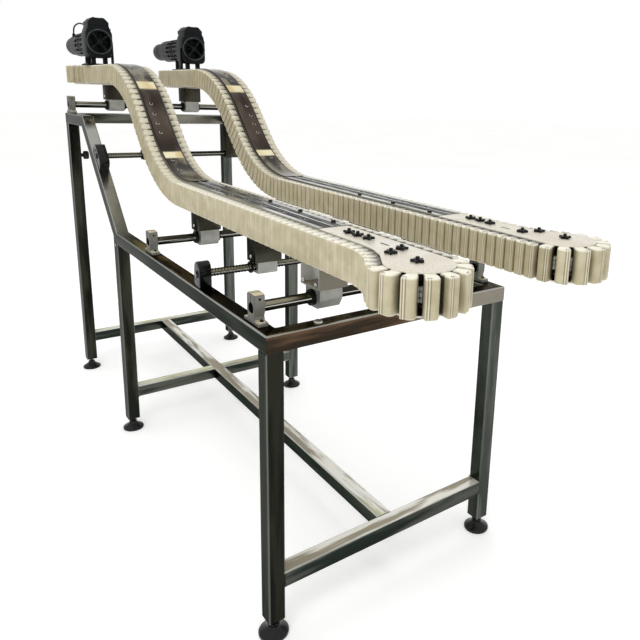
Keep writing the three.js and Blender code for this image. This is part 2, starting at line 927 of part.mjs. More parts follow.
// Gripper chain: the links' band with one rubber pad on each link, as one closed ring
function gripperChain() {
  const joints = chainJoints();
  const count = joints.length;
  const positions = [];
  const index = [];
  const put = ([u, v]) => {
    positions.push(...onTrack(u, v, -padHalfHeight), ...onTrack(u, v, padHalfHeight));
    return positions.length / 3 - 2;
  };
  const wall = (a, b) => index.push(a, b, b + 1, a, b + 1, a + 1);
  const cap = (a, b, c) => index.push(a, c, b, a + 1, b + 1, c + 1);
  const valleys = joints.map((joint) => put(offsetPoint(joint, padBase)));
  const curved = (i) => joints[i % count].bend !== 0 || climbs(joints[i % count].u);
  const starts = joints.map((_, i) => i)
    .filter((i) => i % chainInnerStride === 0 || curved(i) || curved(i + count - 1));
  const inner = starts.map((i) => put(offsetPoint(joints[i], -chainBack)));
  joints.forEach((joint, i) => {
    const next = (i + 1) % count;
    const [lip, face, shoulder] = padPoints(joint, joints[next]).map(put);
    const ring = [valleys[i], lip, face, shoulder, valleys[next]];
    for (let k = 0; k < 4; k += 1) wall(ring[k + 1], ring[k]);
    cap(ring[0], ring[2], ring[1]);
    cap(ring[0], ring[3], ring[2]);
    cap(ring[0], ring[4], ring[3]);
  });
  starts.forEach((start, k) => {
    const following = (k + 1) % starts.length;
    const steps = (starts[following] - start + count) % count;
    wall(inner[k], inner[following]);
    for (let i = 0; i < steps; i += 1) {
      cap(inner[k], valleys[(start + i + 1) % count], valleys[(start + i) % count]);
    }
    cap(inner[k], inner[following], valleys[(start + steps) % count]);
  });
  const geometry = new THREE.BufferGeometry();
  geometry.setAttribute('position', new THREE.Float32BufferAttribute(positions, 3));
  geometry.setIndex(index);
  return faceOut(geometry);
}

// Idler wheel: hub and plain disc that runs inside the chain
function idlerWheel() {
  const rim = chainInnerRadius - idlerRimInset;
  const disc = drum(rim, 2 * wheelHalfHeight, coverSides).translate(0, 0, -wheelHalfHeight);
  const hub = drum(wheelHubRadius, 2 * wheelHubHalfHeight).translate(0, 0, -wheelHubHalfHeight);
  const reach = wheelHubHalfHeight + overrun;
  const bore = drum(axleRadius + turnGap, 2 * reach, boreSides).translate(0, 0, -reach);
  return cut(join(disc, hub), bore).translate(wheelX, tailWheelY, lowerTrackHeight);
}

// Drive sprocket with the shaft that rises into the gearbox
function driveSprocket() {
  const tip = chainInnerRadius - seatGap;
  const root = tip - toothDepth;
  const points = [];
  for (let k = 0; k < wheelTeeth; k += 1) {
    const pitch = (2 * Math.PI) / wheelTeeth;
    const centre = k * pitch;
    points.push(...arcPoints(0, 0, root, centre - pitch / 2, centre - pitch / 4, 1));
    points.push(...arcPoints(0, 0, tip, centre - pitch / 8, centre + pitch / 8, 1));
  }
  const wheel = prismAlongZ(points, -wheelHalfHeight, wheelHalfHeight);
  const hub = drum(wheelHubRadius, 2 * wheelHubHalfHeight).translate(0, 0, -wheelHubHalfHeight);
  const shaft = drum(driveShaftRadius, flangeOuter + driveShaftReach, boreSides);
  return join(wheel, hub, shaft).translate(wheelX, driveWheelY, upperTrackHeight);
}

// Motor: fan cover with its grille, finned stator, flange and terminal box
function finnedSection() {
  const points = [];
  for (let k = 0; k < finCount; k += 1) {
    const pitch = (2 * Math.PI) / finCount;
    const centre = k * pitch;
    const edge = (pitch * finShare) / 2;
    points.push(...arcPoints(0, 0, finRadius, centre - edge, centre + edge, 1));
    points.push(...arcPoints(0, 0, statorRadius, centre + edge, centre + pitch - edge, 1));
  }
  return points;
}

function fanCoverOutline() {
  // Flat-bottomed cover whose shoulders slope in to the neck of the terminal box
  const [w, c] = [fanCoverHalfWidth, fanCoverCorner];
  const quarter = Math.PI / 2;
  return [
    ...arcPoints(c - w, c - fanCoverDrop, c, 2 * quarter, 3 * quarter, blockSteps),
    ...arcPoints(w - c, c - fanCoverDrop, c, -quarter, 0, blockSteps),
    [w, fanCoverShoulder],
    [fanCoverNeck, fanCoverRise],
    [-fanCoverNeck, fanCoverRise],
    [-w, fanCoverShoulder],
  ];
}

function grilleSlot(k) {
  const pitch = (2 * Math.PI) / grilleSlotCount;
  const [from, to] = [(k + 1 / 2) * pitch, (k + 1 / 2 + grilleSlotShare) * pitch];
  const outer = grilleRingRadius - grilleRingWall;
  return [
    ...arcPoints(0, 0, grilleHubRadius, from, to, 1),
    ...arcPoints(0, 0, outer, to, from, blockSteps),
  ];
}

function motor() {
  const [x, z] = [wheelX, motorAxisHeight];
  const roomEnd = motorFrontY + fanCoverWall + fanRoomDepth;
  const cover = prismAlongY(fanCoverOutline(), motorFrontY, statorStartY).translate(x, 0, z);
  const room = drumAlongY(fanRoomRadius, motorFrontY + fanCoverWall, roomEnd, x, z, coverSides);
  const ring = drumAlongY(grilleRingRadius, motorFrontY - grilleRingWall, motorFrontY + fanCoverWall, x, z);
  const dish = drumAlongY(
    grilleRingRadius - grilleRingWall,
    motorFrontY - grilleRingWall - overrun,
    motorFrontY,
    x,
    z,
  );
  const slots = [];
  for (let k = 0; k < grilleSlotCount; k += 1) {
    const slot = prismAlongY(grilleSlot(k), motorFrontY - overrun, motorFrontY + fanCoverWall + overrun);
    slots.push(slot.translate(x, 0, z));
  }
  const stub = drumAlongY(motorStubRadius, motorFrontY + fanRoom, roomEnd + overrun / 2, x, z, smallSides);
  const statorEnd = statorStartY + statorLength;
  const stator = prismAlongY(finnedSection(), statorStartY - overrun / 2, statorEnd + overrun / 2)
    .translate(x, 0, z);
  const flange = drumAlongY(motorFlangeRadius, statorEnd, motorEndY, x, z, coverSides);
  const shell = cut(join(cover, ring), room, dish, ...slots);
  return join(shell, stub, stator, flange, terminalBox());
}

function terminalBox() {
  const neck = block(
    wheelX - fanCoverNeck,
    wheelX + fanCoverNeck,
    motorFrontY,
    motorFrontY + neckLength,
    lidBaseZ - overrun,
    lidBaseZ + overrun,
  );
  const lidTop = lidBaseZ + lidThickness;
  const lid = prismAlongY([
    [-lidHalfWidth, lidBaseZ],
    [lidHalfWidth, lidBaseZ],
    [lidHalfWidth, lidTop - lidChamfer],
    [lidHalfWidth - lidChamfer, lidTop],
    [lidChamfer - lidHalfWidth, lidTop],
    [-lidHalfWidth, lidTop - lidChamfer],
  ], lidFrontY, lidFrontY + lidLength);
  return join(neck, lid.translate(wheelX, 0, 0));
}

// Fan behind the grille
function motorFan() {
  const back = motorFrontY + fanCoverWall + fanRoomDepth - fanRoom;
  const disc = drum(fanRadius, fanBackThickness);
  const hub = drum(fanHubRadius, fanDepth, smallSides).translate(0, 0, fanBackThickness - fanDepth);
  const blades = [];
  for (let k = 0; k < fanBladeCount; k += 1) {
    const blade = block(
      fanHubRadius - fanBladeThickness,
      fanRadius - fanBladeThickness,
      -fanBladeThickness / 2,
      fanBladeThickness / 2,
      fanBackThickness - fanDepth,
      fanBackThickness / 2,
    );
    blades.push(blade.rotateZ((2 * Math.PI * k) / fanBladeCount));
  }
  const bore = drum(motorStubRadius + turnGap, 2 * fanDepth, boreSides).translate(0, 0, -fanDepth);
  const fan = cut(join(disc, hub, ...blades), bore);
  return fan.rotateX(-Math.PI / 2).translate(wheelX, back - fanBackThickness, motorAxisHeight);
}

// Right-angle gearbox: ribbed housing on a round post over the drive wheel, with a long end
function gearbox() {
  const base = drivePlateTop + seatGap;
  const [x, z] = [wheelX, motorAxisHeight];
  const ribs = prismAlongY(finnedSection(), gearFrontY, gearHousingY + overrun / 2).translate(x, 0, z);
  const housing = drumAlongY(gearHousingRadius, gearHousingY, gearNeckY, x, z, coverSides);
  const neck = drumAlongY(gearNeckRadius, gearNeckY - overrun, gearEndY + overrun, x, z);
  const end = drumAlongY(gearEndRadius, gearEndY, partEndY, x, z, coverSides);
  const post = drumAlongZ(gearPostRadius, base, z - statorRadius / 2, x, driveWheelY);
  const foot = drumAlongZ(gearFootRadius, base, base + gearFootThickness, x, driveWheelY);
  const gland = drumAlongZ(glandRadius, z, z + glandRise, x - glandOffset, glandY, smallSides);
  const bore = drumAlongZ(
    driveShaftRadius + turnGap,
    base - overrun,
    drivePlateTop + gearBoreReach,
    x,
    driveWheelY,
    boreSides,
  );
  return cut(join(ribs, housing, neck, end, post, foot, gland), bore);
}

// Motor mount: base plate, two posts under the fan cover and an upright plate beside it
function motorMount() {
  const x = wheelX;
  const base = drivePlateTop + seatGap;
  const [y0, y1] = [motorFrontY + mountFrontInset, motorFrontY + mountFrontInset + mountLength];
  const plate = block(x - mountHalfWidth, x + mountHalfWidth, y0, y1, base, mountTop);
  const post = (offset) => block(
    x + offset,
    x + offset + postWidth,
    y0,
    y0 + postThickness,
    mountTop - mountThickness / 2,
    motorAxisHeight - fanCoverDrop - seatGap,
  );
  const inner = x + fanCoverHalfWidth + seatGap;
  const wing = block(x, inner + sidePlateThickness, y0, y0 + sidePlateLength, base, mountTop);
  const upright = block(
    inner,
    inner + sidePlateThickness,
    y0,
    y0 + sidePlateLength,
    base,
    mountTop + sidePlateRise,
  );
  return join(plate, wing, upright, post(postInset), post(-postInset - postWidth));
}

// Slide block on a guide shaft, with seals at both ends
function slideBlock(y, z) {
  const points = [
    [-blockHalfWidth, z + blockRise],
    [-blockHalfWidth, z - blockShoulder],
    [-blockFoot, z - blockDepth],
    [blockFoot, z - blockDepth],
    [blockHalfWidth, z - blockShoulder],
    [blockHalfWidth, z + blockRise],
  ];
  const [x0, x1] = [carriageX - blockLength / 2, carriageX + blockLength / 2];
  const body = prismAlongX(points, x0, x1).translate(0, y, 0);
  const seals = drumAlongX(sealRadius, x0 - sealLength, x1 + sealLength, y, z);
  const reach = sealLength + overrun;
  const bore = drumAlongX(shaftRadius + seatGap, x0 - reach, x1 + reach, y, z, boreSides);
  return cut(join(body, seals), bore);
}

// Front bracket: a channel open to both sides
function frontBracket() {
  const base = shaftZ + blockRise + seatGap;
  const top = beamUnderside - seatGap;
  const [x0, x1] = [carriageX - frontBracketWidth / 2, carriageX + frontBracketWidth / 2];
  const deep = frontBracketDepth / 2;
  const points = [
    [-deep, base],
    [deep, base],
    [deep, top],
    [deep - bracketThickness, top],
    [deep - bracketThickness, base + bracketThickness],
    [bracketThickness - deep, base + bracketThickness],
    [bracketThickness - deep, top],
    [-deep, top],
  ];
  return prismAlongX(points, x0, x1).translate(0, frontShaftY, 0);
}

// Box bracket that stands on a block or nut and carries the beam
function boxBracket(y, width, depth, base, top) {
  const [x0, x1] = [carriageX - width / 2, carriageX + width / 2];
  const shell = block(x0, x1, y - depth / 2, y + depth / 2, base, top);
  const hollow = block(
    x0 + bracketThickness,
    x1 - bracketThickness,
    y - depth / 2 + bracketThickness,
    y + depth / 2 - bracketThickness,
    base + bracketThickness,
    top + overrun,
  );
  return cut(shell, hollow);
}

function shaftCarrier(y, z, depth, underside) {
  const base = z + blockRise - bracketThickness / 2;
  const bracket = boxBracket(y, boxBracketWidth, depth, base, underside - seatGap);
  return join(slideBlock(y, z), bracket);
}

// Nut of a lead screw
function nutBlock(y, z) {
  const [x0, x1] = [carriageX - nutLength / 2, carriageX + nutLength / 2];
  const body = block(x0, x1, y - nutHalfWidth, y + nutHalfWidth, z - nutHalfHeight, z + nutHalfHeight);
  return cut(body, drumAlongX(screwRadius + turnGap, x0 - overrun, x1 + overrun, y, z, boreSides));
}

function tableNutCarrier() {
  const base = tableScrewZ + nutHalfHeight - bracketThickness / 2;
  const bracket = boxBracket(
    tableScrewY,
    boxBracketWidth,
    boxBracketDepth,
    base,
    beamUnderside - seatGap,
  );
  return join(nutBlock(tableScrewY, tableScrewZ), bracket);
}

function slopeNutCarrier() {
  // The bracket's top follows the beam's underside
  const [y, z] = [slopeScrew.x, slopeScrew.y];
  const base = z + nutHalfHeight - bracketThickness / 2;
  const bracket = boxBracket(y, slopeBracketWidth, slopeBracketDepth, base, upperTrackHeight);
  const under = -flangeOuter - seatGap;
  const edge = bendStations().map((u) => onTrack(u, 0, under)).map(([, py, pz]) => [py, pz]);
  const lid = upperTrackHeight + overrun;
  const above = prismAlongX(
    [...edge, [edge[edge.length - 1][0], lid], [edge[0][0], lid]],
    carriageX - slopeBracketWidth,
    carriageX + slopeBracketWidth,
  );
  return join(nutBlock(y, z), cut(bracket, above));
}

// Motor leads from the terminal boxes
function motorLead(points) {
  const path = new THREE.CatmullRomCurve3(points.map(([x, y, z]) => new THREE.Vector3(x, y, z)));
  const lastAngle = 2 * Math.PI * (1 - 1 / leadSides);
  const section = outline(arcPoints(0, 0, leadRadius, 0, lastAngle, leadSides - 1));
  return new THREE.ExtrudeGeometry(section, { steps: leadSteps, bevelEnabled: false, extrudePath: path });
}

function backLead() {
  // From the back of the lid in a low arch to the gland on the gear housing
  const x = wheelX - glandOffset;
  const startY = lidFrontY + lidLength + seatGap;
  const startZ = lidBaseZ + (lidThickness - lidChamfer) / 2;
  const endZ = motorAxisHeight + glandRise + seatGap;
  return motorLead([
    [x, startY, startZ],
    [x, startY + leadArch, startZ],
    [x, (startY + glandY) / 2, startZ + leadArch],
    [x, glandY - leadArch, (startZ + endZ) / 2 + leadArch],
    [x, glandY, endZ + leadArch / 2],
    [x, glandY, endZ],
  ]);
}

function sideLead() {
  // From the outer end of the lid in a loop to the side of the fan cover
  const y = lidFrontY + lidLength / 2;
  const startX = wheelX - lidHalfWidth - seatGap;
  const endX = wheelX - fanCoverHalfWidth - seatGap;
  const startZ = lidBaseZ + (lidThickness - lidChamfer) / 2;
  return motorLead([
    [startX, y, startZ],
    [startX - leadArch, y, startZ],
    [startX - leadLoop, y, startZ - leadDrop / 2],
    [endX - leadArch, y, startZ - leadDrop],
    [endX, y, startZ - leadDrop],
  ]);
}

// Materials
const material = (color, roughness, metalness) => new THREE.MeshStandardMaterial({
  color,
  roughness,
  metalness,
});
const mirrorSteel = material(0x6b6e69, 0.2, 1);
const chrome = material(0xc8cac8, 0.12, 1);
const beamMetal = material(0xb9bab2, 0.35, 0.9);
const bronzeSheet = material(0x564b40, 0.25, 0.9);
const padRubber = material(0xcbc19c, 0.55, 0);
const castGrey = material(0x9a9b98, 0.45, 0.7);
const blackPlastic = material(0x121212, 0.5, 0);
const motorPaint = material(0x2c3236, 0.5, 0.2);
const wheelPlastic = material(0xd8d6cc, 0.5, 0);

// The whole conveyor, with its origin under the middle of its box
const conveyor = new THREE.Group();
const tipY = tailWheelY - wheelRadius - padReach;
conveyor.position.y = -(tipY + partEndY) / 2;

function add(name, geometry, look) {
  const mesh = new THREE.Mesh(geometry, look);
  mesh.name = name;
  conveyor.add(mesh);
}

function addBothSides(name, geometry, look) {
  add(`left_${name}`, geometry, look);
  add(`right_${name}`, mirrored(geometry), look);
}

add('front_leg_frame', frontLegFrame(), mirrorSteel);
add('middle_leg_frame', middleLegFrame(), mirrorSteel);
add('rear_leg_frame', rearLegFrame(), mirrorSteel);
addBothSides('side_rail', sideRail(), mirrorSteel);

const shafts = [
  ['front', frontShaftY, shaftZ],
  ['rear', rearShaftY, shaftZ],
  ['top', topShaftY, topShaftZ],
];
shafts.forEach(([place, y, z]) => {
  add(`${place}_guide_shaft`, guideShaft(y, z), chrome);
  addBothSides(`${place}_shaft_support`, shaftSupport(-1, y, z), castGrey);
});

add('table_lead_screw', leadScrew(tableScrewY, tableScrewZ, tableBlockThickness), chrome);
add('slope_lead_screw', leadScrew(slopeScrew.x, slopeScrew.y, slopeBlockThickness), chrome);
addBothSides('table_screw_block', tableScrewBlock(-1), blackPlastic);
addBothSides('slope_screw_block', slopeScrewBlock(-1), blackPlastic);

const legRows = [['front', half], ['middle', middleLegY + half], ['rear', rearLegY + half]];
legRows.forEach(([place, y]) => {
  addBothSides(`${place}_levelling_foot`, levellingFoot(-railX, y), blackPlastic);
});

addBothSides('track_beam', trackBeam(), beamMetal);
addBothSides('slope_cover', slopeCover(), bronzeSheet);
addBothSides('idler_plate', idlerPlate(), beamMetal);
addBothSides('idler_wheel', idlerWheel(), wheelPlastic);
addBothSides('drive_sprocket', driveSprocket(), wheelPlastic);
addBothSides('gripper_chain', gripperChain(), padRubber);
addBothSides('gearbox', gearbox(), motorPaint);
addBothSides('motor', motor(), motorPaint);
addBothSides('motor_fan', motorFan(), blackPlastic);
addBothSides('motor_mount', motorMount(), motorPaint);
addBothSides('front_slide_block', slideBlock(frontShaftY, shaftZ), castGrey);
addBothSides('front_bracket', frontBracket(), mirrorSteel);
addBothSides('rear_carrier', shaftCarrier(rearShaftY, shaftZ, boxBracketDepth, beamUnderside), castGrey);
addBothSides('top_carrier', shaftCarrier(topShaftY, topShaftZ, topBracketDepth, upperUnderside), castGrey);
addBothSides('table_nut_carrier', tableNutCarrier(), castGrey);
addBothSides('slope_nut_carrier', slopeNutCarrier(), castGrey);
add('left_motor_lead', backLead(), blackPlastic);
add('right_motor_lead', mirrored(sideLead()), blackPlastic);

export default conveyor;
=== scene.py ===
# %% [markdown]
# # Bottle gripper conveyor
# Two mirrored gripper chains stand on one frame of polished steel tube. Bottles ride between
# the two rows of ivory rubber pads, from the low flared tips to the high motor end.
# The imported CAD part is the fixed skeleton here. Each piece that shows gets its fine shape and
# its finish in this lesson, and rides on the skeleton's body that carries it.

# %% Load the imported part
import json
import math
import random
import bpy
import bmesh
from mathutils import Matrix, Vector


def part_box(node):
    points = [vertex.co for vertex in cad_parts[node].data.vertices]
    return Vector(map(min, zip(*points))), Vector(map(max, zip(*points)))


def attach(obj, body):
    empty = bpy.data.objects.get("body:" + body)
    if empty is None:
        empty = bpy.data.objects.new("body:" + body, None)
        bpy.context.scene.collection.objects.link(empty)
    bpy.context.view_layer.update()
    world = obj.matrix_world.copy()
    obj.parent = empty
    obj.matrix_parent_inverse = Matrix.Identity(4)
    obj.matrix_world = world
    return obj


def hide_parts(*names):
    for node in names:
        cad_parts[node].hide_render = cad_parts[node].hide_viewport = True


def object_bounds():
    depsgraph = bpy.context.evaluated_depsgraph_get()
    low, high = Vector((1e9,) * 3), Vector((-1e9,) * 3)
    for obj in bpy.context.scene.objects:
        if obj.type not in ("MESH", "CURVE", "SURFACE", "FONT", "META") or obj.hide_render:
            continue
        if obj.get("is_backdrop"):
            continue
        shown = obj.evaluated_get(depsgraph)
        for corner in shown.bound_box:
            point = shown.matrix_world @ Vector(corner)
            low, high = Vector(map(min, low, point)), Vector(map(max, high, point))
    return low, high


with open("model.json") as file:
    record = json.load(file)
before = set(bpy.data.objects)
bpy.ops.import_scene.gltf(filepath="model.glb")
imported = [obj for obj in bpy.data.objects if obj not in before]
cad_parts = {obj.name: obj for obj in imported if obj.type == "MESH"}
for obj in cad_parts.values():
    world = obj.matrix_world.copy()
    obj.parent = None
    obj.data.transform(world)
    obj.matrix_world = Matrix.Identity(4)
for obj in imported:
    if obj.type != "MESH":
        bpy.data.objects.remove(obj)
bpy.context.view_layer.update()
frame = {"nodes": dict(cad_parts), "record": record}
mm = 0.001
sides = ("left", "right")
front_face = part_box("front_leg_frame")[0].y
body_nodes = frame["record"]["behaviour"]["bodies"]
body_of = {node: body for body, nodes in body_nodes.items() for node in nodes}
chance = random.Random(7)

# %% [markdown]
# ## The camera
# The camera stands where the photographer stood: low, in front of the left-hand corner. Its lens
# and its turn come from matching the frame's corners, legs and feet with the picture.
# The principal point isn't in the middle of the picture, so the camera has a small shift.

# %% Camera
picture = 640
focal_pixels = 633.3
principal = (396.9, 249.3)
camera_place = Vector((-1.0771, -1.3493 + front_face, 1.4882))
heading, dip, roll = math.radians(37.90), math.radians(13.38), math.radians(2.14)

forward = Vector((math.sin(heading) * math.cos(dip), math.cos(heading) * math.cos(dip), -math.sin(dip)))
level = Vector((math.cos(heading), -math.sin(heading), 0))
upright = level.cross(forward)
right = level * math.cos(roll) + upright * math.sin(roll)
up = upright * math.cos(roll) - level * math.sin(roll)
lens = bpy.data.cameras.new("photo_lens")
lens.sensor_width = 36
lens.lens = lens.sensor_width * focal_pixels / picture
lens.shift_x = 0.5 - principal[0] / picture
lens.shift_y = principal[1] / picture - 0.5
camera = bpy.data.objects.new("photo_camera", lens)
bpy.context.scene.collection.objects.link(camera)
turn = Matrix((right, up, -forward)).transposed()
camera.matrix_world = Matrix.Translation(camera_place) @ turn.to_4x4()
bpy.context.scene.camera = camera
print("camera:", round(lens.lens, 2), "mm lens")

# %% [markdown]
# ## Light and floor
# The picture is a cut-out on white, so the room is one even white, and the floor too. The plain
# view transform keeps that white clean. Soft lights overhead give the pads and blocks their shading.

# %% World and lights
bpy.context.scene.view_settings.view_transform = "Standard"
world = bpy.data.worlds.new("studio")
bpy.context.scene.world = world
world.use_nodes = True
sky = world.node_tree
backdrop = sky.nodes["Background"]
direction = sky.nodes.new("ShaderNodeTexCoord")
split = sky.nodes.new("ShaderNodeSeparateXYZ")
ramp = sky.nodes.new("ShaderNodeValToRGB")
sky.links.new(direction.outputs["Generated"], split.inputs[0])
sky.links.new(split.outputs["Z"], ramp.inputs[0])
sky.links.new(ramp.outputs[0], backdrop.inputs["Color"])
room_stops = [(0.0, 1.0), (0.26, 1.0), (0.4, 0.62), (0.62, 0.74), (1.0, 0.9)]
ramp.color_ramp.elements[0].position = room_stops[0][0]
ramp.color_ramp.elements[1].position = room_stops[-1][0]
for place, _ in room_stops[1:-1]:
    ramp.color_ramp.elements.new(place)
for stop, (_, bright) in zip(ramp.color_ramp.elements, room_stops):
    stop.color = (bright, bright, bright, 1)
backdrop.inputs["Strength"].default_value = 1.0


def softbox(name, place, aim, size, power):
    lamp = bpy.data.lights.new(name, "AREA")
    lamp.shape = "RECTANGLE"
    lamp.size, lamp.size_y = size
    lamp.energy = power
    lit = bpy.data.objects.new(name, lamp)
    bpy.context.scene.collection.objects.link(lit)
    lit.location = place
    lit.rotation_euler = (Vector(aim) - Vector(place)).to_track_quat("-Z", "Y").to_euler()
    lit.visible_glossy = False


middle = Vector((0, 0, 1.1))
softbox("key_light", (-2.6, -2.6, 4.4), middle, (2.4, 2.4), 60)
softbox("top_light", (0.4, 0.6, 4.6), middle, (3.0, 3.6), 45)
print("lights: even white room, two soft boxes")

# %% [markdown]
# ## Sums in the shader
# A material varies over the surface by sums on numbers: stretch a noise, take it from one, add an
# edge. `Wire` is one number that runs through the tree, and Python's own signs add the Math nodes.
# `Finish` is a material under construction. Its `node` method makes any other node. Colours are
# written as a screen shows them, from 0 to 255, and `mix` turns them into the shader's own.

# %% Wire and Finish
def colour(red, green, blue):
    """A colour as seen on a screen, 0 to 255, as a shader's linear colour."""
    def linear(value):
        value /= 255
        return value / 12.92 if value <= 0.04045 else ((value + 0.055) / 1.055) ** 2.4
    return (linear(red), linear(green), linear(blue), 1)


def both_ways(operation):
    """What Python's sign does with a wire on its left, and with a wire on its right only."""
    return (lambda self, other: self.sum(operation, self, other),
            lambda self, other: self.sum(operation, other, self))


class Wire:
    """A number, colour or vector on its way through a material."""

    __add__, __radd__ = both_ways("ADD")
    __sub__, __rsub__ = both_ways("SUBTRACT")
    __mul__, __rmul__ = both_ways("MULTIPLY")

    def __init__(self, finish, socket):
        self.finish = finish
        self.socket = socket

    def sum(self, operation, *values):
        return self.finish.node("ShaderNodeMath", {"operation": operation}, values)

    def most(self, other):
        return self.sum("MAXIMUM", self, other)

    def least(self, other):
        return self.sum("MINIMUM", self, other)

    def size(self):
        return self.sum("ABSOLUTE", self)

    def step(self, low, high):
        """0 below low, 1 above high, smooth between."""
        inputs = {"Value": self, "From Min": low, "From Max": high}
        return self.finish.node("ShaderNodeMapRange", {"interpolation_type": "SMOOTHSTEP"}, inputs)

    def between(self, low, high, soft):
        """1 from low to high, 0 outside, with a soft edge."""
        return self.step(low - soft, low + soft) * (1 - self.step(high - soft, high + soft))


class Finish:
    """One material: `node` adds to its tree, `feed` fills a socket of its shader.

    Tint is how bright a metal's glancing reflection is, and shine is how strong a black piece's is.
    """

    def __init__(self, name, tint=1.0, shine=0.5, **constants):
        self.material = bpy.data.materials.new(name)
        self.material.use_nodes = True
        self.tree = self.material.node_tree
        self.shader = self.tree.nodes["Principled BSDF"]
        constants.update(Specular_Tint=(tint, tint, tint, 1), Specular_IOR_Level=shine)
        for socket, value in constants.items():
            self.shader.inputs[socket.replace("_", " ")].default_value = value

    def node(self, kind, settings=None, inputs=(), output=0):
        made = self.tree.nodes.new(kind)
        for key, value in (settings or {}).items():
            setattr(made, key, value)
        for key, value in inputs.items() if isinstance(inputs, dict) else enumerate(inputs):
            if isinstance(value, Wire):
                self.tree.links.new(value.socket, made.inputs[key])
            else:
                made.inputs[key].default_value = value
        return Wire(self, made.outputs[output])

    def feed(self, socket, wire):
        self.tree.links.new(wire.socket, self.shader.inputs[socket])

    def noise(self, scale, detail=3.0, stretch=(1, 1, 1)):
        here = self.node("ShaderNodeTexCoord", output="Object")
        place = self.node("ShaderNodeMapping", {}, {"Vector": here, "Scale": stretch})
        return self.node("ShaderNodeTexNoise", {}, {"Vector": place, "Scale": scale, "Detail": detail})

    def parts(self, vector):
        """The three numbers of a vector."""
        node = self.node("ShaderNodeSeparateXYZ", {}, [vector]).socket.node
        return [Wire(self, node.outputs[axis]) for axis in range(3)]

    def facing(self):
        """How far the surface faces along each axis, with its sign."""
        return self.parts(self.node("ShaderNodeTexCoord", output="Normal"))

    def where(self):
        """The place on the piece, in metres."""
        return self.parts(self.node("ShaderNodeTexCoord", output="Object"))

    def painted(self, name):
        """A number that the mesh carries at its points."""
        return self.node("ShaderNodeAttribute", {"attribute_name": name}, output=2)

    def mix(self, share, first, second, *over):
        """The second colour over the first by its share, then more of them, each (share, colour)."""
        for share, second in ((share, second), *over):
            pair = [colour(*one) if isinstance(one, tuple) else one for one in (first, second)]
            first = self.node("ShaderNodeMix", {"data_type": "RGBA"}, {0: share, 6: pair[0], 7: pair[1]}, 2)
        return first

    def bump(self, height, strength, distance):
        inputs = {"Height": height, "Strength": strength, "Distance": distance}
        self.feed("Normal", self.node("ShaderNodeBump", {}, inputs))


print("a Wire and a Finish are ready")

# %% [markdown]
# ## Polished tube
# The frame's square tube is polished like a mirror, and a mirror shows the room that it stands in.
# In the picture the faces to the left show a dark green-grey, the faces to the front brown and grey
# stretches, and the upper faces dark patches and cream ones. Each rounded edge is a bright line.
# The room of this lesson is white, so the finish carries these stretches itself along the tube as painted
# reflections, and each bright edge line as a painted highlight.

# %% Tube steel
along_x, along_y, along_z = (0.12, 1, 1), (1, 0.12, 1), (1, 1, 0.12)
low_tubes = (300 * mm, 600 * mm)    # the stretchers are below, everything else is above
leg_inside = 372 * mm               # where a tube that lies along X meets a leg
bar_half = 25.2 * mm                # half the width of the long centre bar
bar_height = (250 * mm, 300 * mm)   # the bar is below
bar_ends = (front_face + 52 * mm, front_face + 2173 * mm)


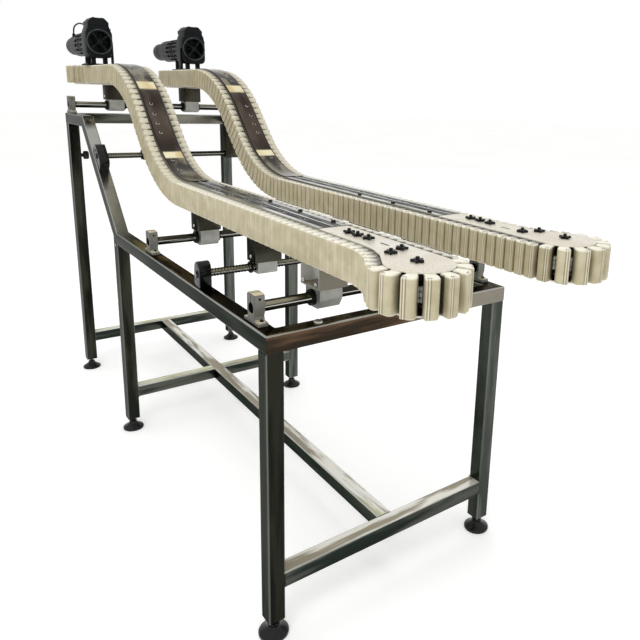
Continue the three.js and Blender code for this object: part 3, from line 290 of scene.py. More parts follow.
def tube_steel(name, direction, seed, legs, rails=None, table=None, tint=0.45):
    """Mirror steel with painted reflections in patches along the tube. Legs and rails give two shades of painted
    reflection for their front faces.

    Where table is given, the tubes between the legs and those above that height lie along X.
    """
    finish = Finish(name, Metallic=1.0, tint=tint)
    nx, ny, nz = finish.facing()
    wide, deep, tall = nx.size(), ny.size(), nz.size()
    across, back, high = finish.where()
    low = 1 - high.step(*low_tubes)

    def patches(stretch):
        return finish.noise(7 + seed, 2, stretch), finish.noise(26 + seed, 4, stretch)

    slow, quick = patches(direction)
    # Front faces: painted reflections in the two shades of the legs
    front = finish.mix(quick.step(0.4, 0.62), *legs)
    if table:
        lying = high.step(table, table + 4 * mm).most(1 - across.size().step(leg_inside, leg_inside + 4 * mm))
        bar = (1 - across.size().step(bar_half, bar_half + 1 * mm)) * (1 - high.step(*bar_height))
        bar = bar * back.between(*bar_ends, 1 * mm)
        for share, stretch in ((lying, along_x), (bar, along_y)):
            other_slow, other_quick = patches(stretch)
            slow = slow + share * (other_slow - slow)
            quick = quick + share * (other_quick - quick)
        # Painted reflections for the rails' fronts, paler to the right, and for the low tubes and the right legs
        glint = quick.step(0.4, 0.62)
        low_flat = finish.mix(glint, (40, 46, 42), (84, 86, 80))
        pale_reflection = across.step(-20 * mm, 160 * mm) * 0.7
        flat = finish.mix(glint, *rails, (pale_reflection, (150, 146, 134)), (low, low_flat))
        right_leg = finish.mix(glint, (66, 70, 66), (94, 96, 90))
        front = finish.mix(across.step(200 * mm, 300 * mm), front, right_leg, (lying, flat))
    # Side, sloping and upper faces: painted reflections of the room, the low tops pale where they reflect the
    # floor
    sideways = finish.mix(quick.step(0.35, 0.7), (40, 46, 41), (60, 64, 58),
                          (slow.step(0.54, 0.62) * 0.35, (92, 93, 86)))
    sloping = finish.mix(quick.step(0.4, 0.6), (40, 40, 33), (104, 98, 80))
    low_tops = finish.mix(quick.step(0.45, 0.56), (250, 248, 238), (168, 160, 140),
                          (slow.step(0.52, 0.6) * 0.6, (216, 220, 176)))
    tops = finish.mix(slow.step(0.48, 0.52), (42, 39, 32), (138, 130, 100),
                      (quick.step(0.52, 0.56) * 0.7, (78, 66, 46)), (low, low_tops))
    faces_up = nz.step(0.76, 0.86)
    slope_face = nz.between(0.66, 0.75, 0.01)
    # A bright line on each rounded edge is a painted highlight
    level_edge = wide.least(tall).step(0.22, 0.36).most(deep.least(tall).step(0.3, 0.4) * (1 - slope_face))
    upright_edge = wide.least(deep).step(0.22, 0.36)
    finish.feed("Base Color", finish.mix(
        deep.step(0.5, 0.8), sideways, front, (nz.step(0.5, 0.66), sloping), (faces_up, tops),
        ((level_edge * 0.7).most(upright_edge * 0.16), (196, 198, 192))))
    finish.feed("Metallic", 1 - 0.55 * faces_up * low)
    finish.feed("Roughness", 0.14 + 0.1 * slow + 0.08 * quick)
    finish.bump(finish.noise(16, 2), 0.06, 0.004)
    return finish


leg_steel = tube_steel("leg_steel", along_z, 0.0, ((24, 27, 24), (42, 42, 36)),
                       ((92, 72, 56), (48, 42, 35)), table=854 * mm)
back_steel = tube_steel("back_steel", along_z, 1.7, ((32, 34, 29), (56, 56, 48)),
                        ((104, 106, 98), (54, 54, 47)), table=1309 * mm)
rail_steel = tube_steel("rail_steel", along_y, 1.3, ((38, 41, 36), (72, 68, 58)), tint=0.5)
print("three tube steels")

# %% [markdown]
# ## Ivory rubber
# A pad is cream where light reaches it and olive where it doesn't, and both are painted. The mesh carries three
# numbers at its points: `shade` is painted shade deep in a recess, `rim` is a painted highlight on the upper and
# lower edge and on the lip's crests, and `tone` is a random tone of each pad with painted shade over the lane's
# pads, darker up the slope on the outer side. The finish turns them into colour.

# %% Ivory rubber
ivory_rubber = Finish("ivory_rubber", Coat_Weight=0.1, Coat_Roughness=0.3)
pad_numbers = ("shade", "rim", "tone")
shade, rim, tone = [ivory_rubber.painted(name) for name in pad_numbers]
cloud = ivory_rubber.noise(26, 4).step(0.3, 0.7)
# Random cloud and tone, painted shade of the lane and the recesses, and painted highlights on the rims
ivory_rubber.feed("Base Color", ivory_rubber.mix(
    cloud, (199, 190, 161), (179, 170, 138), (tone, (134, 120, 82)), (rim * 0.8, (244, 240, 224)),
    (shade, (44, 38, 26))))
ivory_rubber.feed("Roughness", 0.34 + 0.16 * cloud)
ivory_rubber.bump(ivory_rubber.noise(700, 2), 0.1, 0.0004)
print("ivory rubber reads", ", ".join(pad_numbers), "from the mesh")

# %% [markdown]
# ## Other finishes
# Each is one Principled shader with its own variation. A plain finish is two shades that a noise mixes. A faced
# finish paints light: a shade for each side and a painted shade underneath, because a cast block or a sheet
# shows the room differently above, in front and at its side. Rod, plate and beam have their own streaks and
# bands.

# %% Rubber, plastic, paint and metal
def plain_finish(name, light, dark, roughness, metallic=0.0, scale=30.0, grain=0.0, **constants):
    """Two shades that a noise mixes, a roughness that follows it, and a fine grain."""
    finish = Finish(name, Metallic=metallic, **constants)
    cloud = finish.noise(scale, 4).step(0.3, 0.7)
    finish.feed("Base Color", finish.mix(cloud, light, dark))
    finish.feed("Roughness", roughness - 0.06 + 0.12 * cloud)
    if grain:
        finish.bump(finish.noise(900, 2), grain, 0.0004)
    return finish


link_plastic = plain_finish("link_plastic", (196, 196, 190), (158, 156, 146), 0.45, scale=60, grain=0.1)
black_plastic = plain_finish("black_plastic", (20, 20, 20), (9, 9, 9), 0.3, scale=50, grain=0.15, shine=0.25)
block_black = plain_finish("block_black", (7, 7, 7), (3, 3, 3), 0.16, scale=50, shine=0.3)
foot_rubber = plain_finish("foot_rubber", (16, 17, 16), (8, 8, 8), 0.26, scale=50, grain=0.1, shine=0.35)
bright_steel = plain_finish("bright_steel", (222, 222, 216), (176, 174, 166), 0.22, 1.0, 60)
dark_steel = plain_finish("dark_steel", (70, 70, 66), (38, 38, 36), 0.3, 1.0, 40)
white_ring = plain_finish("white_ring", (240, 236, 224), (214, 208, 192), 0.35, 0.6, 60)
profile_metal = plain_finish("profile_metal", (206, 208, 204), (150, 150, 144), 0.2, 1.0, 6)
slot_black = plain_finish("slot_black", (16, 16, 15), (8, 8, 8), 0.5, 0.0, 40, shine=0.1)
motor_dark = plain_finish("motor_dark", (16, 18, 19), (8, 9, 9), 0.45, 0.0, 40, 0.3, shine=0.12)
motor_rim = plain_finish("motor_rim", (58, 64, 64), (40, 46, 47), 0.4, 0.1, 40, 0.2)
bead_steel = plain_finish("bead_steel", (120, 118, 108), (58, 54, 46), 0.3, 1.0, 120)
wheel_plastic = plain_finish("wheel_plastic", (40, 40, 38), (22, 22, 21), 0.5, scale=30)
floor_paint = plain_finish("floor_paint", (250, 250, 249), (246, 246, 245), 0.8, scale=0.6, shine=0.0,
                           Emission_Color=(1, 1, 1, 1), Emission_Strength=0.24)


def faced_finish(name, top, front, side, roughness, metallic, scale=24, grain=0.12, **constants):
    """A cast or sheet piece whose upper, front and side faces show the room in three painted shades, with
    painted shade underneath.
    """
    finish = Finish(name, Metallic=metallic, **constants)
    nx, _, nz = finish.facing()
    # The underside is painted shade at half the side's shade; the smudge is a random darker cloud
    below, smudge = [tuple(share * value for value in side) for share in (0.5, 0.62)]
    cloud = finish.noise(scale, 4)
    finish.feed("Base Color", finish.mix(
        nx.size().step(0.4, 0.8), front, side, (nz.step(0.4, 0.8), top), (1 - nz.step(-0.8, -0.4), below),
        (cloud.step(0.35, 0.75) * 0.3, smudge)))
    finish.feed("Roughness", roughness - 0.06 + 0.14 * cloud)
    if grain:
        finish.bump(finish.noise(600, 2), grain, 0.0005)
    return finish


# Each faced finish carries painted light: its own shade for upper, front and side faces
cast_grey = faced_finish("cast_grey", (204, 195, 162), (124, 123, 116), (84, 84, 78), 0.42, 0.35)
block_grey = faced_finish("block_grey", (186, 184, 168), (168, 168, 162), (120, 121, 116), 0.4, 0.4)
dark_sheet = faced_finish("dark_sheet", (120, 116, 100), (70, 68, 58), (48, 47, 40), 0.26, 0.9, 14, 0, tint=0.4)
bracket_steel = faced_finish("bracket_steel", (196, 192, 178), (112, 107, 96), (190, 187, 176), 0.2, 0.95, 14, 0,
                             tint=0.5)
mirror_sheet = faced_finish("mirror_sheet", (150, 140, 120), (226, 226, 220), (150, 148, 140), 0.2, 0.2, 30, 0)
motor_paint = faced_finish("motor_paint", (40, 43, 43), (22, 25, 27), (12, 13, 14), 0.42, 0.0, 40, 0.3,
                           shine=0.08)

# A ground rod in a white room, as a painted reflection: brown above, one painted highlight line, and painted
# shade nearly black below.
shaft_steel = Finish("shaft_steel", Metallic=1.0, tint=0.3)
upwards = shaft_steel.facing()[2]
streak = shaft_steel.noise(14, 3, (0.15, 1, 1)).step(0.45, 0.6)
shaft_steel.feed("Base Color", shaft_steel.mix(
    upwards.between(0.3, 0.8, 0.1) * streak, (52, 50, 42), (150, 145, 124),
    (upwards.between(-0.28, 0.12, 0.06), (112, 112, 106)), (upwards.between(0.0, 0.1, 0.03), (214, 214, 208)),
    (1 - upwards.step(-0.5, -0.3), (20, 20, 18))))
shaft_steel.feed("Roughness", 0.12 + 0.1 * streak)

# The idler plate is rough from the cut: speckles and stains above, paler at its edges.
plate_metal = Finish("plate_metal", Metallic=0.25)
speckle = plate_metal.noise(210, 5).step(0.42, 0.64)
stain = plate_metal.noise(16, 4).step(0.4, 0.66)
plate_metal.feed("Base Color", plate_metal.mix(
    speckle * 0.5, (228, 222, 208), (190, 180, 158), (stain * 0.3, (206, 196, 174)),
    (1 - plate_metal.facing()[2].step(0.2, 0.6), (232, 228, 214))))
plate_metal.feed("Roughness", 0.3 + 0.2 * stain)
plate_metal.bump(plate_metal.noise(240, 3), 0.1, 0.0008)

# The beam has long streaks above, and painted light makes its sides pale.
beam_metal = Finish("beam_metal", Metallic=0.9)
streak = beam_metal.noise(24, 3, (1, 0.06, 0.2)).step(0.4, 0.6)
beam_metal.feed("Base Color", beam_metal.mix(
    streak, (64, 66, 64), (104, 105, 100), (1 - beam_metal.facing()[2].step(0.2, 0.5), (196, 192, 178))))
beam_metal.feed("Roughness", 0.2 + 0.15 * streak)
print(len(bpy.data.materials), "finishes")

# %% [markdown]
# ## Making and hanging pieces
# A piece is a mesh in the machine's own place. It gets a finish, smooth faces with sharp corners
# where two faces meet steeply, and a body of the skeleton to ride on. Most pieces are made for the
# left-hand side and mirrored for the right. Outlines are in millimetres.

# %% Floor and piece helpers
to_left = ((-1, 0, 0), (0, 0, 1))      # for set_on: where the shape's z and y axes point
to_front = ((0, -1, 0), (0, 0, 1))


def add_object(name, mesh):
    made = bpy.data.objects.new(name, mesh)
    bpy.context.scene.collection.objects.link(made)
    return made


def finish_piece(piece, finish, body, smooth=35):
    """Gives a piece its finish and smooth faces, and hangs it on its body."""
    if not piece.data.materials:
        piece.data.materials.append(finish.material)
    piece.data.polygons.foreach_set("use_smooth", [True] * len(piece.data.polygons))
    piece.data.set_sharp_from_angle(angle=math.radians(smooth))
    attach(piece, body)
    return piece


def at(x, y, z):
    """A place in millimetres: x from the middle, y from the frame's front face, z from the floor."""
    return Vector((x * mm, front_face + y * mm, z * mm))


def by(x, y, z):
    """A way to go, in millimetres."""
    return Vector((x, y, z)) * mm


def centre_of(node):
    low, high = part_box(node)
    return (low + high) / 2


def merged(name, parts):
    """One mesh from many lists of points and faces."""
    points, faces = [], []
    for part_points, part_faces in parts:
        start = len(points)
        points.extend(part_points)
        faces.extend([tuple(start + i for i in face) for face in part_faces])
    mesh = bpy.data.meshes.new(name)
    mesh.from_pydata(points, [], faces)
    return mesh


def inset(profile, depth):
    """The outline drawn inwards by a small depth."""
    moved = []
    for k, (x, y) in enumerate(profile):
        (ax, ay), (bx, by) = profile[k - 1], profile[(k + 1) % len(profile)]
        dx, dy = bx - ax, by - ay
        length = math.hypot(dx, dy) or 1
        moved.append((x - depth * dy / length, y + depth * dx / length))
    return moved


def rings(loops):
    """Loops of equal point count, joined in order and closed at both ends: points and faces."""
    count = len(loops[0])
    points = [point for loop in loops for point in loop]
    faces = []
    for r in range(len(loops) - 1):
        for i in range(count):
            j = (i + 1) % count
            faces.append((r * count + i, r * count + j, (r + 1) * count + j, (r + 1) * count + i))
    faces.append(tuple(range(count))[::-1])
    faces.append(tuple(range((len(loops) - 1) * count, len(loops) * count)))
    return points, faces


def stacked(profile, levels):
    """An outline drawn at several heights, each (height, inset), all in millimetres."""
    return rings([[(x * mm, y * mm, z * mm) for x, y in inset(profile, depth)] for z, depth in levels])


def turned(profile, sides_round=24):
    """A lathe piece about its own z axis, from (radius, height) pairs in millimetres."""
    turns = [2 * math.pi * k / sides_round for k in range(sides_round)]
    return rings([[(radius * mm * math.cos(a), radius * mm * math.sin(a), z * mm) for a in turns]
                  for radius, z in profile])


def round_outline(radius, count, share=0.0, waves=0):
    """A closed outline; waves and share give it petals."""
    points = []
    for k in range(count):
        a = 2 * math.pi * k / count
        r = radius * (1 + share * math.cos(waves * a))
        points.append((r * math.cos(a), r * math.sin(a)))
    return points


def set_on(shape, place, high=(0, 0, 1), ahead=(0, 1, 0)):
    """A shape with its z axis along `high` and its y axis near `ahead`."""
    z_axis = Vector(high).normalized()
    y_axis = (Vector(ahead) - Vector(ahead).dot(z_axis) * z_axis).normalized()
    x_axis = y_axis.cross(z_axis)
    points, faces = shape
    return [place + p[0] * x_axis + p[1] * y_axis + p[2] * z_axis for p in points], faces


def handed(parts, side):
    """The left-hand parts, or their mirror images for the right."""
    if side == "left":
        return parts
    return [([Vector((-p[0], p[1], p[2])) for p in points], [face[::-1] for face in faces])
            for points, faces in parts]


def add_parts(name, parts, finish, body="frame", smooth=35):
    """Many small parts of one finish as one piece."""
    return finish_piece(add_object(name, merged(name, parts)), finish, body, smooth)


def add_on_both(name, parts, finish, smooth=35, body="{side}_conveyor"):
    """The parts as a piece on the left-hand side and another on the right."""
    for side in sides:
        add_parts(f"{side}_{name}", handed(parts, side), finish, body.format(side=side), smooth)


reach = 40
corners = [(-reach, -reach, 0), (reach, -reach, 0), (reach, reach, 0), (-reach, reach, 0)]
floor = add_object("floor", merged("floor", [(corners, [(0, 1, 2, 3)])]))
floor.data.materials.append(floor_paint.material)
floor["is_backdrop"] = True
print("floor", 2 * reach, "m square")

# %% [markdown]
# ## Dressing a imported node
# Many pieces need no new shape, only what a machinist would do to them: the sharp edges broken.
# The node's mesh is copied, its coplanar triangles are merged, and its edges get a small bevel.
# Where a node is two things welded together, such as a cast block under a dark sheet bracket, a
# test on each face's middle picks the finish.

# %% Dressed nodes
flat_enough = math.radians(0.6)
sharp_enough = math.radians(28)


def dress(node, finish, edge=0.8, others=(), smooth=35):
    """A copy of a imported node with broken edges, which is shown in its place."""
    work = bmesh.new()
    work.from_mesh(frame["nodes"][node].data)
    bmesh.ops.remove_doubles(work, verts=work.verts, dist=0.02 * mm)
    bmesh.ops.dissolve_limit(work, angle_limit=flat_enough, verts=work.verts, edges=work.edges)
    if edge:
        sharp = [e for e in work.edges if e.is_manifold and e.calc_face_angle(0) > sharp_enough]
        bmesh.ops.bevel(work, geom=sharp, offset=edge * mm, segments=2, affect="EDGES", profile=0.6,
                        clamp_overlap=True)
        bmesh.ops.dissolve_degenerate(work, dist=0.01 * mm, edges=work.edges)
    for face in work.faces:
        middle = face.calc_center_median()
        for k, (_, test) in enumerate(others):
            if test(middle):
                face.material_index = k + 1
    mesh = bpy.data.meshes.new(f"{node}_skin")
    work.to_mesh(mesh)
    work.free()
    for one in (finish, *[other for other, _ in others]):
        mesh.materials.append(one.material)
    piece = add_object(f"{node}_skin", mesh)
    finish_piece(piece, finish, body_of[node], smooth)
    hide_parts(node)


def above(height):
    return lambda middle: middle.z > height * mm


def behind(y):
    return lambda middle: middle.y > at(0, y, 0).y


def at_ends(node, depth, top=math.inf):
    """A test for the seals of a block: faces within a depth of its ends along X, and below its top."""
    low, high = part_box(node)
    return lambda middle: middle.z < top * mm and not low.x + depth * mm <= middle.x <= high.x - depth * mm


block_tops = (("rear", 976.5), ("top", 1431.5))      # where a carrier's block ends and its sheet begins
nut_block_top = 966.5
slide_seal, carrier_seal = 10.25, 10.6
for node, steel in (("front_leg_frame", leg_steel), ("middle_leg_frame", back_steel),
                    ("rear_leg_frame", back_steel)):
    dress(node, steel, 0, smooth=18)
for side in sides:
    dress(f"{side}_side_rail", rail_steel, 0, smooth=18)
    for place in ("table", "slope"):
        dress(f"{side}_{place}_screw_block", block_black, 2.4)
    node = f"{side}_front_slide_block"
    dress(node, block_grey, others=[(slot_black, at_ends(node, slide_seal))])
    dress(f"{side}_front_bracket", bracket_steel, 0.5, others=[(mirror_sheet, behind(66))])
    for place, top in block_tops:
        node = f"{side}_{place}_carrier"
        seals = (slot_black, at_ends(node, carrier_seal, top))
        dress(node, block_grey, others=[(dark_sheet, above(top)), seals])
    dress(f"{side}_table_nut_carrier", block_grey, others=[(dark_sheet, above(nut_block_top))])
    dress(f"{side}_slope_nut_carrier", dark_sheet)
    for node, finish, edge in (("track_beam", beam_metal, 0.4), ("idler_plate", plate_metal, 0.8),
                               ("gearbox", motor_paint, 1.6), ("motor", motor_paint, 1.4),
                               ("motor_mount", motor_dark, 0.8), ("motor_fan", motor_dark, 0),
                               ("idler_wheel", wheel_plastic, 0), ("drive_sprocket", wheel_plastic, 0)):
        dress(f"{side}_{node}", finish, edge)
    dress(f"{side}_motor_lead", slot_black, 0, smooth=60)

# %% [markdown]
# ## Rods, screws and feet
# The guide shafts are ground round. The lead screws carry a thread: each ring of points is a little
# further round in the wave of the thread, so the crests climb like a real helix. A foot is a black
# mushroom with a bright lock nut on its collar.

# %% Guide shafts, lead screws and feet
shaft_half = 406
shaft_profile = [(13.8, -shaft_half), (15, -shaft_half + 1.2), (15, shaft_half - 1.2), (13.8, shaft_half)]
end_disc = turned([(13.6, 0), (12.8, 0.5)], 32)
shaft_ends = []
for place in ("front", "rear", "top"):
    node = f"{place}_guide_shaft"
    centre = centre_of(node)
    rod = set_on(turned(shaft_profile, 40), centre, (1, 0, 0), (0, 0, 1))
    shaft = add_parts(f"{node}_ground", [rod], shaft_steel, "frame", 50)
    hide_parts(node)
    for end in (-1, 1):
        spot = centre + by(end * shaft_half, 0, 0)
        shaft_ends.append(set_on(end_disc, spot, (end, 0, 0), (0, 0, 1)))
add_parts("guide_shaft_ends", shaft_ends, slot_black, "frame")

thread_lead = 10.0
thread_facets = 14
rings_a_turn = 5
thread_core, thread_crest, journal = 10.6, 12.4, 8.9
crest_width = 1.6    # over 1, so that the wave is cut off and each crest has a flat


def thread_mesh(node, shoulder):
    """A threaded rod along X in a node's place, with plain journals at its ends."""
    low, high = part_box(node)
    centre = centre_of(node)
    half = (high.x - low.x) / 2 / mm
    count = round(2 * shoulder / thread_lead * rings_a_turn)
    stations = [(-half, journal, journal), (-shoulder, journal, journal)]
    stations += [(-shoulder + 2 * shoulder * i / count, thread_core, thread_crest) for i in range(count + 1)]
    stations += [(shoulder, journal, journal), (half, journal, journal)]
    loops = []
    for x, low_r, high_r in stations:
        loop = []
        for k in range(thread_facets):
            wave = abs(((x / thread_lead - k / thread_facets) % 1) * 2 - 1)
            r = low_r + (high_r - low_r) * min(1, wave * crest_width)
            a = 2 * math.pi * k / thread_facets
            loop.append(centre + by(x, r * math.cos(a), r * math.sin(a)))
        loops.append(loop)
    return rings(loops)


for place, shoulder in (("table", 380.5), ("slope", 379.5)):
    node = f"{place}_lead_screw"
    screw = add_parts(f"{node}_thread", [thread_mesh(node, shoulder)], shaft_steel, f"{place}_screw",
                      60)
    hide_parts(node)

foot_shape = turned([(42.2, 0), (43, 0.8), (43, 7.2), (41.6, 9), (36, 12.6), (27, 18), (20, 23.6), (17, 27),
                     (17, 28)], 36)
nut_shape = stacked(round_outline(16.6, 6), [(28, 1), (28.6, 0), (35.4, 0), (36, 1)])
stem_shape = turned([(7.8, 34), (7.8, 112)], 16)
for row in ("front", "middle", "rear"):
    for side in sides:
        foot, body = f"{side}_{row}_levelling_foot", f"{side}_{row}_foot"
        base = centre_of(foot)
        base.z = 0
        sole = add_parts(f"{body}_sole", [set_on(foot_shape, base)], foot_rubber, body, 50)
        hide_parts(foot)
        add_parts(f"{body}_nut", [set_on(nut_shape, base), set_on(stem_shape, base)], dark_steel, body,
                  40)
print("rods, two threads and six feet")

# %% [markdown]
# ## The track
# Everything on a conveyor follows one path: level, up a slope of 45 degrees, level again. A place
# on it is (u, v, h): how far along, how far across, and how high square to the path.

# %% Track
pitch = 33.5 * mm
teeth = 14
run_half = 40 * mm
flare_radius = 254 * mm
bend_radius = 554 * mm
climb = math.pi / 4
beam_offset = 206 * mm
lower_bend_y = 1028 * mm
pad_half_height = 43 * mm

wheel_radius = pitch / (2 * math.sin(math.pi / teeth))
wheel_v = run_half - wheel_radius
tail_centre = centre_of("left_idler_wheel")
drive_y = centre_of("left_drive_sprocket").y - front_face
tail_y = tail_centre.y - front_face
lower_z = tail_centre.z
upper_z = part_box("left_gripper_chain")[1].z - pad_half_height
lower_run = lower_bend_y - tail_y
bend_rise = bend_radius * (1 - math.cos(climb))
slope_length = (upper_z - lower_z - 2 * bend_rise) / math.sin(climb)
upper_bend_end = lower_bend_y + 2 * bend_radius * math.sin(climb) + slope_length * math.cos(climb)
bend_length = bend_radius * climb
upper_end = lower_run + 2 * bend_length + slope_length
track_length = upper_end + drive_y - upper_bend_end
lower_bend, upper_bend = (bend_length, 1 / bend_radius), (bend_length, -1 / bend_radius)
track = [(lower_run, 0), lower_bend, (slope_length, 0), upper_bend, (math.inf, 0)]


def along_arc(x, y, heading, bend, distance):
    """The end of a straight or bent stretch in a plane."""
    if bend == 0:
        return x + distance * math.cos(heading), y + distance * math.sin(heading), heading
    turned_to = heading + bend * distance
    return (x + (math.sin(turned_to) - math.sin(heading)) / bend,
            y - (math.cos(turned_to) - math.cos(heading)) / bend, turned_to)


def track_point(u):
    """Where the path is after u metres: y from the frame's front, z, and its angle."""
    place = (tail_y, lower_z, 0.0)
    for length, bend in track:
        if u <= length:
            return along_arc(*place, bend, u)
        place = along_arc(*place, bend, length)
        u -= length


def on_track(u, v, h):
    """The place (u, v, h) on the left-hand conveyor."""
    y, z, angle = track_point(u)
    return Vector((-beam_offset + v, front_face + y - h * math.sin(angle), z + h * math.cos(angle)))


def track_axes(u):
    """Ahead along the path, and up square to it."""
    angle = track_point(u)[2]
    return Vector((0, math.cos(angle), math.sin(angle))), Vector((0, -math.sin(angle), math.cos(angle)))


flare_angle = math.acos((wheel_v + run_half + flare_radius) / (wheel_radius + flare_radius))
flare_length = (wheel_radius + flare_radius) * math.sin(flare_angle)


def chain_pins():
    """The chain's pins as (u, v, heading, bend), evenly spaced round the loop."""
    wheel_turn = ((math.pi + flare_angle) * wheel_radius, -1 / wheel_radius)
    flare = (flare_angle * flare_radius, 1 / flare_radius)
    stretches = [(track_length, 0), wheel_turn, flare, (track_length - 2 * flare_length, 0), flare, wheel_turn]
    total = sum(length for length, _ in stretches)
    count = round(total / pitch)
    found = []
    place = (0.0, run_half, 0.0)
    passed = 0.0
    for length, bend in stretches:
        while len(found) < count and total * len(found) / count < passed + length - 1e-9:
            found.append((*along_arc(*place, bend, total * len(found) / count - passed), bend))
        place = along_arc(*place, bend, length)
        passed += length
    return found


pins = chain_pins()
print("track", round(track_length, 3), "m, chain of", len(pins), "links")

# %% [markdown]
# ## The gripper pads
# Each link carries one rubber pad. Its face is blunt, the leading corner is a large round, and the
# trailing side is a ridged lip with a recess behind it, so the pad can fold against a bottle.
# The rubber is moulded, so its upper and lower rims are rounded. Where the chain bends towards its pads the
# rubber is squeezed. The mesh carries each point's painted shade, painted highlight and tone.

# %% Pads
# Along the chain, out from it, and how much painted shade lies there.
pad_outline = [(13.4, 5.4, 0.9), (13.6, 12, 0.75), (15.9, 17, 0.3), (16.2, 28, 0.1), (15.7, 33, 0),
               (14.2, 36.8, 0), (11.6, 39.6, 0), (8.0, 41.4, 0), (4.0, 42, 0), (-2.8, 42, 0), (-4.0, 41.2, 0.1),
               (-5.2, 39.8, 0.42), (-6.4, 41.2, 0.1), (-7.6, 42, 0), (-8.9, 42, 0), (-10.1, 41.2, 0.1),
               (-11.2, 39.8, 0.42), (-12.2, 41.2, 0.1), (-13.3, 41.8, 0), (-14.6, 41.5, 0), (-15.9, 39.6, 0.05),
               (-16.4, 36.4, 0.15), (-16.3, 26, 0.2), (-15.4, 22.4, 0.5), (-13.2, 20.4, 0.85), (-12.4, 16, 0.95),
               (-12.4, 5.4, 0.95)]
# Height, inset, and how much painted highlight the rim has.
pad_levels = [(-43, 3.2, 0.2), (-42.4, 1.6, 0.35), (-41.0, 0.5, 0.3), (-38.6, 0, 0.0), (-13, 0, 0.0),
              (13, 0, 0.0), (39.6, 0, 0.05), (42.6, 0.5, 0.75), (44.6, 1.6, 1.0), (45.5, 3.4, 1.0)]
recess_out = 21             # further out than this a pad's side is open to the light
lip_along, crest_out = -7, 41.5    # the lip's crests, which catch the light
tip_length = 0.9            # metres from the tail in which the lane's pads are darkest
link_outline = [(16.4, -2.6), (16.4, 2.6), (13, 5), (-13, 5), (-16.4, 2.6), (-16.4, -2.6), (-13, -5.4),
                (13, -5.4)]
link_levels = [(-16.5, 0.8), (-15.7, 0), (-8, 0), (-7.2, 2.2), (-5.2, 2.2), (-4.4, 0)]
link_levels += [(-z, depth) for z, depth in reversed(link_levels)]


def on_links(shape, soft=False):
    """Copies of a shape given as (along, out, up), one on each link of the left-hand chain."""
    points, faces = shape
    across = Vector((1, 0, 0))
    parts, links_at = [], []
    for (u0, v0, _, bend0), (u1, v1, _, bend1) in zip(pins, pins[1:] + pins[:1]):
        length = math.hypot(u1 - u0, v1 - v0)
        along_u, along_v = (u1 - u0) / length, (v1 - v0) / length
        squeeze = max(0, bend0, bend1) if soft else 0
        u = (u0 + u1) / 2
        centre = on_track(u, (v0 + v1) / 2, 0)
        ahead, high = track_axes(u)
        t_axis = along_u * ahead + along_v * across
        o_axis = -along_v * ahead + along_u * across
        placed = [centre + t * (1 - squeeze * o) * t_axis + o * o_axis + h * high for t, o, h in points]
        parts.append((placed, [face[::-1] for face in faces]))
        links_at.append((u, along_u, bend0))
    return parts, links_at


pad_shape = stacked([(t, out) for t, out, _ in pad_outline], [(z, depth) for z, depth, _ in pad_levels])
pads, pad_places = on_links(pad_shape, soft=True)
links, _ = on_links(stacked(link_outline, link_levels))
shades, rims, tones = [], [], []
for u, along_u, bend in pad_places:
    lane, climbing, on_wheel = along_u > 0.9, lower_run < u < upper_end, bend < 0
    # A random tone for each pad, then painted shade on the lane's pads, most near the tail, and darker up the
    # slope on the outer side
    tone_and_shade = 0.06 + 0.14 * chance.random()
    if lane:
        tone_and_shade += 0.2 + 0.2 * (u < tip_length)
    tone_and_shade += (0.02 if lane else 0.36) * max(0, min(1, (u - lower_run) / slope_length / 2))
    depth = (1.0 if lane or bend != 0 else 0.55) * (0.45 if climbing else 1)
    crest = 0.5 if lane or on_wheel else 0.15
    # At each point: painted shade in the recesses, less at lit rims, and a painted highlight on the rims and the
    # lip's crests
    for _, _, edge in pad_levels:
        clear = edge if on_wheel else 0.5 * edge
        lit = edge * (0.5 if climbing else 1)
        shades += [dark * depth * (1 - clear * (out > recess_out or on_wheel)) for _, out, dark in pad_outline]
        rims += [max(lit, crest * (t < lip_along and out > crest_out)) for t, out, _ in pad_outline]
        tones += [tone_and_shade] * len(pad_outline)


def paint(mesh, **numbers):
    """Writes numbers at the points of a mesh, for its finish to read."""
    for name, values in numbers.items():
        mesh.attributes.new(name, "FLOAT", "POINT").data.foreach_set("value", values)


for side in sides:
    mesh = merged(f"{side}_gripper_pads", handed(pads, side))
    paint(mesh, shade=shades, rim=rims, tone=tones)
    rubber = finish_piece(add_object(mesh.name, mesh), ivory_rubber, f"{side}_conveyor", 50)
    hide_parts(f"{side}_gripper_chain")
add_on_both("chain_links", links, link_plastic, 50)
print("pads:", len(mesh.polygons), "faces a side")

# %% [markdown]
# ## The slope cover
# A thin sheet is screwed on over the climb. It is polished, and carries a painted reflection of the room: a dark
# brown panel between two gold bands. The mesh carries its distance along the track, so that the finish can lay
# the bands where the picture has them. Eight screws in bright washers hold it.

# %% Slope cover
# Metres along the track of the painted reflection: the brown panel, its paler middle and the gold bands.
panel_ends, pale_ends, gold_bands = (1.712, 2.077), (1.80, 1.96), ((1.662, 1.708), (2.084, 2.134))
hem = (36.5 * mm, 38.5 * mm)
painted_reflection_mirror = Finish("painted_reflection_mirror", Metallic=0.95)
along, across = painted_reflection_mirror.painted("along"), painted_reflection_mirror.painted("across")
smear = painted_reflection_mirror.noise(16, 4, (1, 0.4, 0.4))
lower_gold, upper_gold = [along.between(*band, 0.006) for band in gold_bands]
